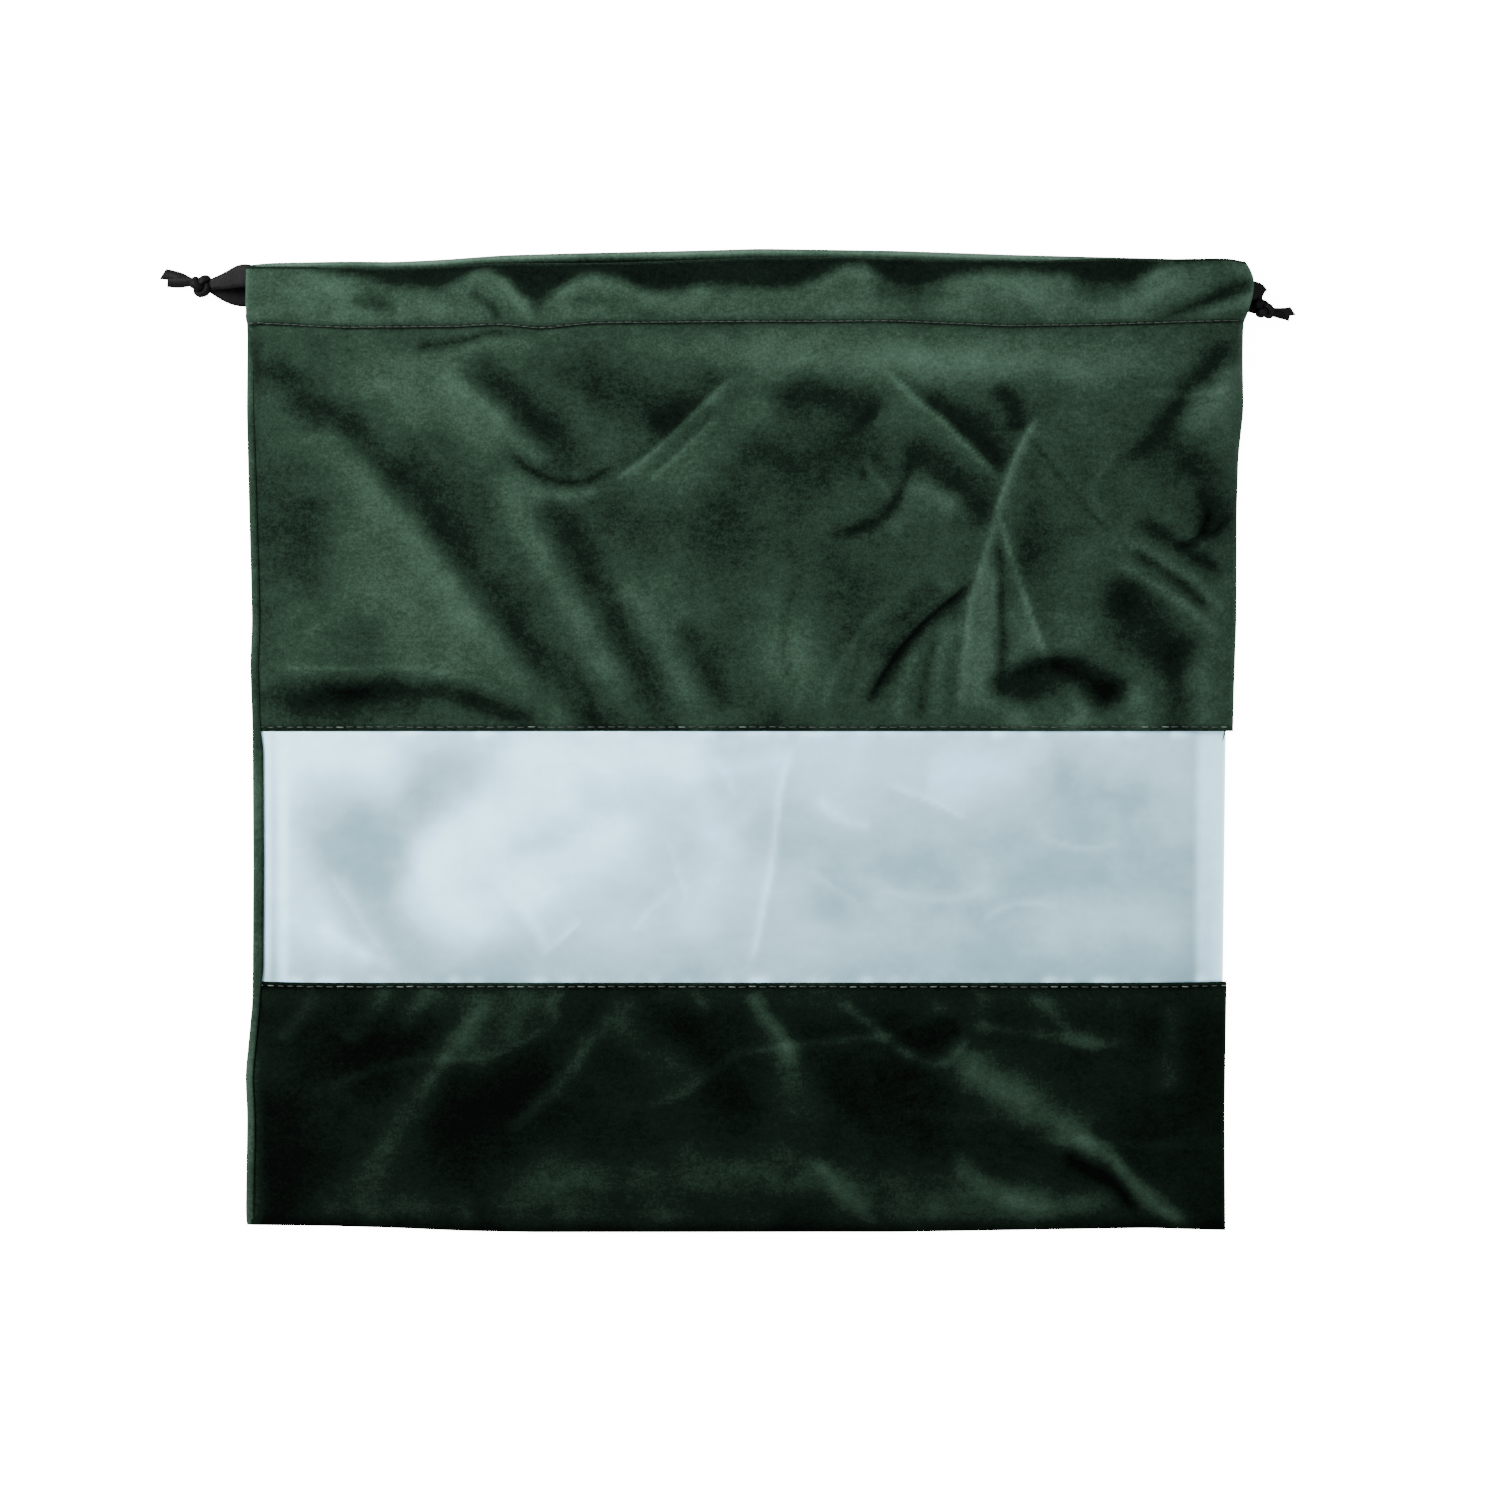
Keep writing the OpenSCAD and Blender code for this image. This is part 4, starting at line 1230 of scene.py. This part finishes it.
def loop_stations(route, knot, fan):
    """Stations of a loop that leaves at -X: the low run from the knot, the bight, the high run back."""
    neck_x = abs(knot[0]) - NECK
    exit_y = route[0][1]

    def run(z, fan_run, z_way):
        stations = [(-neck_x, knot[1], KNOT_R + z_way, 4.0, 1.3)]
        for out, dy, wide in reversed(fan_run):
            level = z + (KNOT_R + z_way - z) * np.clip(out / (neck_x - HALF_W), 0, 1) ** 0.7
            stations.append((-HALF_W - out, exit_y + dy, level, wide, 0.7))
        return stations + [(x, y, z, w, RIBBON_T) for x, y, w in route[1:]]

    _, lane, width = route[-1]
    bight = []
    for a in np.radians(np.linspace(0, 180, 13)):
        x, z = HALF_W - BIGHT_IN + BIGHT_R * math.sin(a), LOW_Z + BIGHT_R * (1 - math.cos(a))
        bight.append((x, lane, z, width, RIBBON_T))
    points = np.array(run(LOW_Z, fan[1], -1) + bight + run(HIGH_Z, fan[0], 1)[::-1], float)
    line = [points[0]]
    for a, b in zip(points[:-1], points[1:], strict=True):
        steps = max(1, int(np.linalg.norm(b[:3] - a[:3]) / 1.3))
        line += [a + (b - a) * k / steps for k in range(1, steps + 1)]
    line = np.array(line)
    for _ in range(6):  # rounds the corners of the route
        line[1:-1] = (line[:-2] + 2 * line[1:-1] + line[2:]) / 4
    return line


def make_loop(name, route, knot, side, fan):
    line = loop_stations(route, knot, fan)
    line[:, 0] *= -side
    made = ribbon_strip(name, [(*s, 0) for s in line])
    path = line[:, :3] * MM
    length = float(np.linalg.norm(np.diff(path, axis=0), axis=1).sum())
    return made, path.tolist(), length


def make_knot(name, centre, size, tilt):
    """An overhand knot pulled tight: the ribbon bunched to a thick band along a trefoil."""
    steps, sides = 72, 8
    t = np.linspace(0, 2 * math.pi, steps, endpoint=False)
    wobble = 1 + 0.10 * np.sin(2 * t + 1) + 0.06 * np.sin(5 * t)
    p = np.stack(
        [
            (np.sin(t) + 2 * np.sin(2 * t)) * size * wobble,
            (np.cos(t) - 2 * np.cos(2 * t)) * size * 0.86,
            -np.sin(3 * t) * size * 1.25,
        ],
        1,
    )
    tangent = np.roll(p, -1, 0) - np.roll(p, 1, 0)
    tangent /= np.linalg.norm(tangent, axis=1, keepdims=True)
    out = p / np.maximum(np.linalg.norm(p, axis=1, keepdims=True), 1e-6)
    across = np.cross(tangent, out)
    across /= np.linalg.norm(across, axis=1, keepdims=True)
    out = np.cross(across, tangent)
    vertices = []
    for i in range(steps):
        wide = (1.75 + 0.2 * math.sin(4 * t[i])) * size
        for k in range(sides):
            a = 2 * math.pi * k / sides
            ring = across[i] * math.cos(a) * wide + out[i] * math.sin(a) * 1.3 * size
            vertices.append(p[i] + (1 - 0.14 * (k % 2)) * ring)
    vertices = np.array(vertices)
    a, b = np.radians(tilt)
    turn_y = np.array([[math.cos(b), 0, math.sin(b)], [0, 1, 0], [-math.sin(b), 0, math.cos(b)]])
    turn_z = np.array([[math.cos(a), -math.sin(a), 0], [math.sin(a), math.cos(a), 0], [0, 0, 1]])
    vertices = vertices @ turn_y.T @ turn_z.T
    vertices += np.array(centre)
    vertices[:, 2] += max(0, 0.3 - vertices[:, 2].min())
    made = new_object(name, vertices, tube_faces(0, steps, sides, closed=True), RIBBON)
    rounder = made.modifiers.new("rounder", "SUBSURF")
    rounder.levels = rounder.render_levels = 1
    return made


def make_tails(name, knot, side, tails, tail_w):
    """The two ends past the knot, the first cut at a slant. Each tail is its turn, length and roll."""
    parts = []
    for (turn, length, roll), z in zip(tails, TAIL_Z, strict=True):
        a = math.radians(turn)
        ahead = np.array([side * math.cos(a), math.sin(a), 0])
        sideways = np.array([-ahead[1], ahead[0], 0])
        stations = []
        for s in np.linspace(0, 1, 14):
            swing = 0.9 * math.sin(2.6 * s + z)
            place = np.array([*knot[:2], 0]) + ahead * (TAIL_FROM + length * s) + sideways * swing
            drop = z * (1 - s) ** 1.4 + 1.2 * s
            wide = tail_w * (0.62 + 0.38 * min(1, 2 * s))
            stations.append((place[0], place[1], drop, wide, 0.9 - 0.3 * s, roll * (1 - 0.5 * s)))
        parts.append(ribbon_strip(f"{name}_{len(parts)}", stations, cup=0.35))
    first = parts[0]
    slanted(first, side)
    with bpy.context.temp_override(
        active_object=first, object=first, selected_editable_objects=parts, selected_objects=parts
    ):
        bpy.ops.object.join()
    first.name = name
    return first


def slanted(made, side):
    """Cuts a ribbon's end at a slant by pulling one corner of its last ring back."""
    ring = made.data.vertices[-len(OUTLINE) :]
    middle = sum(v.co.y for v in ring) / len(ring)
    for v in ring:
        v.co.x -= side * 0.45 * (v.co.y - middle)


# ---------------------------------------------------------------- building it


def follow_string(made):
    """Bakes the piece's transform into its mesh."""
    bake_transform(made)


def sewn_line(x):
    """Where the front casing's row of stitches lies."""
    return STITCH_Y + between(STITCH_WAVE, x)


def finish_piece(made, slot, *nodes):
    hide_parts(*nodes)


WINDOW_PITCH, CASING_PITCH, SEAM_PITCH = 4, 3.4, 4


def window_row(word, pieces, right_in, y, glint_share):
    """The stitches along one edge of the window."""
    bounds_x = (-HALF_W + 7, HALF_W - right_in)
    name = f"window_{word}_thread"
    row = stitch_row(name, pieces, *bounds_x, lambda x: y, WINDOW_PITCH, glint_share)
    finish_piece(row, "thread", f"window_{word}_stitching")
    return row


def make_string(word, side, route, knot, fan, knot_size, tilt, tails, tail_w):
    """One drawstring: its loop, its knot and its two tails."""
    loop, path, length = make_loop(f"{word}_ribbon", route, knot, side, fan)
    tied = make_knot(f"{word}_ribbon_knot", knot, knot_size, tilt)
    ends = make_tails(f"{word}_ribbon_tails", knot, side, tails, tail_w)
    for made, node in ((loop, "drawstring"), (tied, "knot"), (ends, "tails")):
        finish_piece(made, "ribbon", f"{word}_{node}")
        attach(made, f"{word}_string")


make_string(
    "left",
    side=-1,
    route=left_route,
    knot=LEFT_KNOT,
    fan=(LEFT_FAN_HIGH, LEFT_FAN_LOW),
    knot_size=1.3,
    tilt=(10, 25),
    tails=((17, 14, 25), (12, 11.5, -20)),
    tail_w=4.6,
)
make_string(
    "right",
    side=1,
    route=right_route,
    knot=RIGHT_KNOT,
    fan=(RIGHT_FAN_HIGH, RIGHT_FAN_LOW),
    knot_size=1.1,
    tilt=(-50, -30),
    tails=((2, 9.2, 20), (-20, 8.2, -30)),
    tail_w=3.6,
)

uppers = []
for half, word in ((-1, "left"), (1, "right")):
    front = make_front_upper(f"front_upper_{word}", half)
    back = make_back(f"back_{word}", half)
    uppers.append(front)
    finish_piece(front, "velvet", "front_upper_panel", "front_casing_flap", "front_casing_fold")
    finish_piece(back, "velvet", "back_panel", "back_casing_flap", "back_casing_fold")

    seam_x = sorted((half * -seam_low[0], half * -seam_high[0]))
    edge = make_seam_edge(f"{word}_inner_seam", *seam_x, seam_low[1], seam_high[1])
    finish_piece(edge, "velvet", f"{word}_seam_edge")
    seam_y = np.arange(seam_low[1] + 2, seam_high[1], SEAM_PITCH)
    sewn_x = lay_sides(half * (HALF_W - SEAM_IN) + 0 * seam_y, seam_y, 0, RIGHT_BACK)
    name = f"{word}_seam_thread"
    row = inner_row(name, sewn_x, seam_y, CLOTH_T + EDGE_ROW_Z, (0, 1, 0), EDGE_STITCH_L)
    finish_piece(row, "thread", f"{word}_seam_stitching")

    bounds_x = (-HALF_W + 4, -1) if half < 0 else (1, HALF_W - 3)
    casing = stitch_row(f"front_casing_thread_{word}", [front], *bounds_x, sewn_line, CASING_PITCH)
    finish_piece(casing, "thread", "front_casing_stitching")
    inside_x = np.arange(half * (HALF_W - 8), 0, -half * CASING_PITCH)
    inside_z = back_flap_high[2] + STITCH_OVER
    name = f"back_casing_thread_{word}"
    inside = inner_row(name, inside_x, STITCH_Y + 0.3, inside_z, (1, 0, 0), HEM_STITCH_L)
    finish_piece(inside, "thread", "back_casing_stitching")
    for made in (front, back, edge, row, casing, inside):
        follow_string(made)

lower = make_front_lower()
finish_piece(lower, "velvet_lower", "front_lower_panel")
film = make_film()
finish_piece(film, "window_film", "window_film")

(x0, y0, _), (x1, y1, _) = box_mm("bottom_seam_edge")
bottom_edge = make_seam_edge("bottom_inner_seam", x0, x1, y0, y1)
finish_piece(bottom_edge, "velvet_lower", "bottom_seam_edge")
bottom_x = np.arange(x0 + 2, x1, SEAM_PITCH)
bottom_thread = inner_row(
    "bottom_seam_thread", bottom_x, y0 + ROW_IN, CLOTH_T + EDGE_ROW_Z, (1, 0, 0), EDGE_STITCH_L
)
finish_piece(bottom_thread, "thread", "bottom_seam_stitching")

top_row = window_row("top", uppers, 6, WINDOW_Y1 + ROW_IN, 0.05)
low_row = window_row("bottom", [lower], 9, WINDOW_Y0 - ROW_IN, 0.3)
for made in (lower, film, bottom_edge, bottom_thread, top_row, low_row):
    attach(made, "sack")
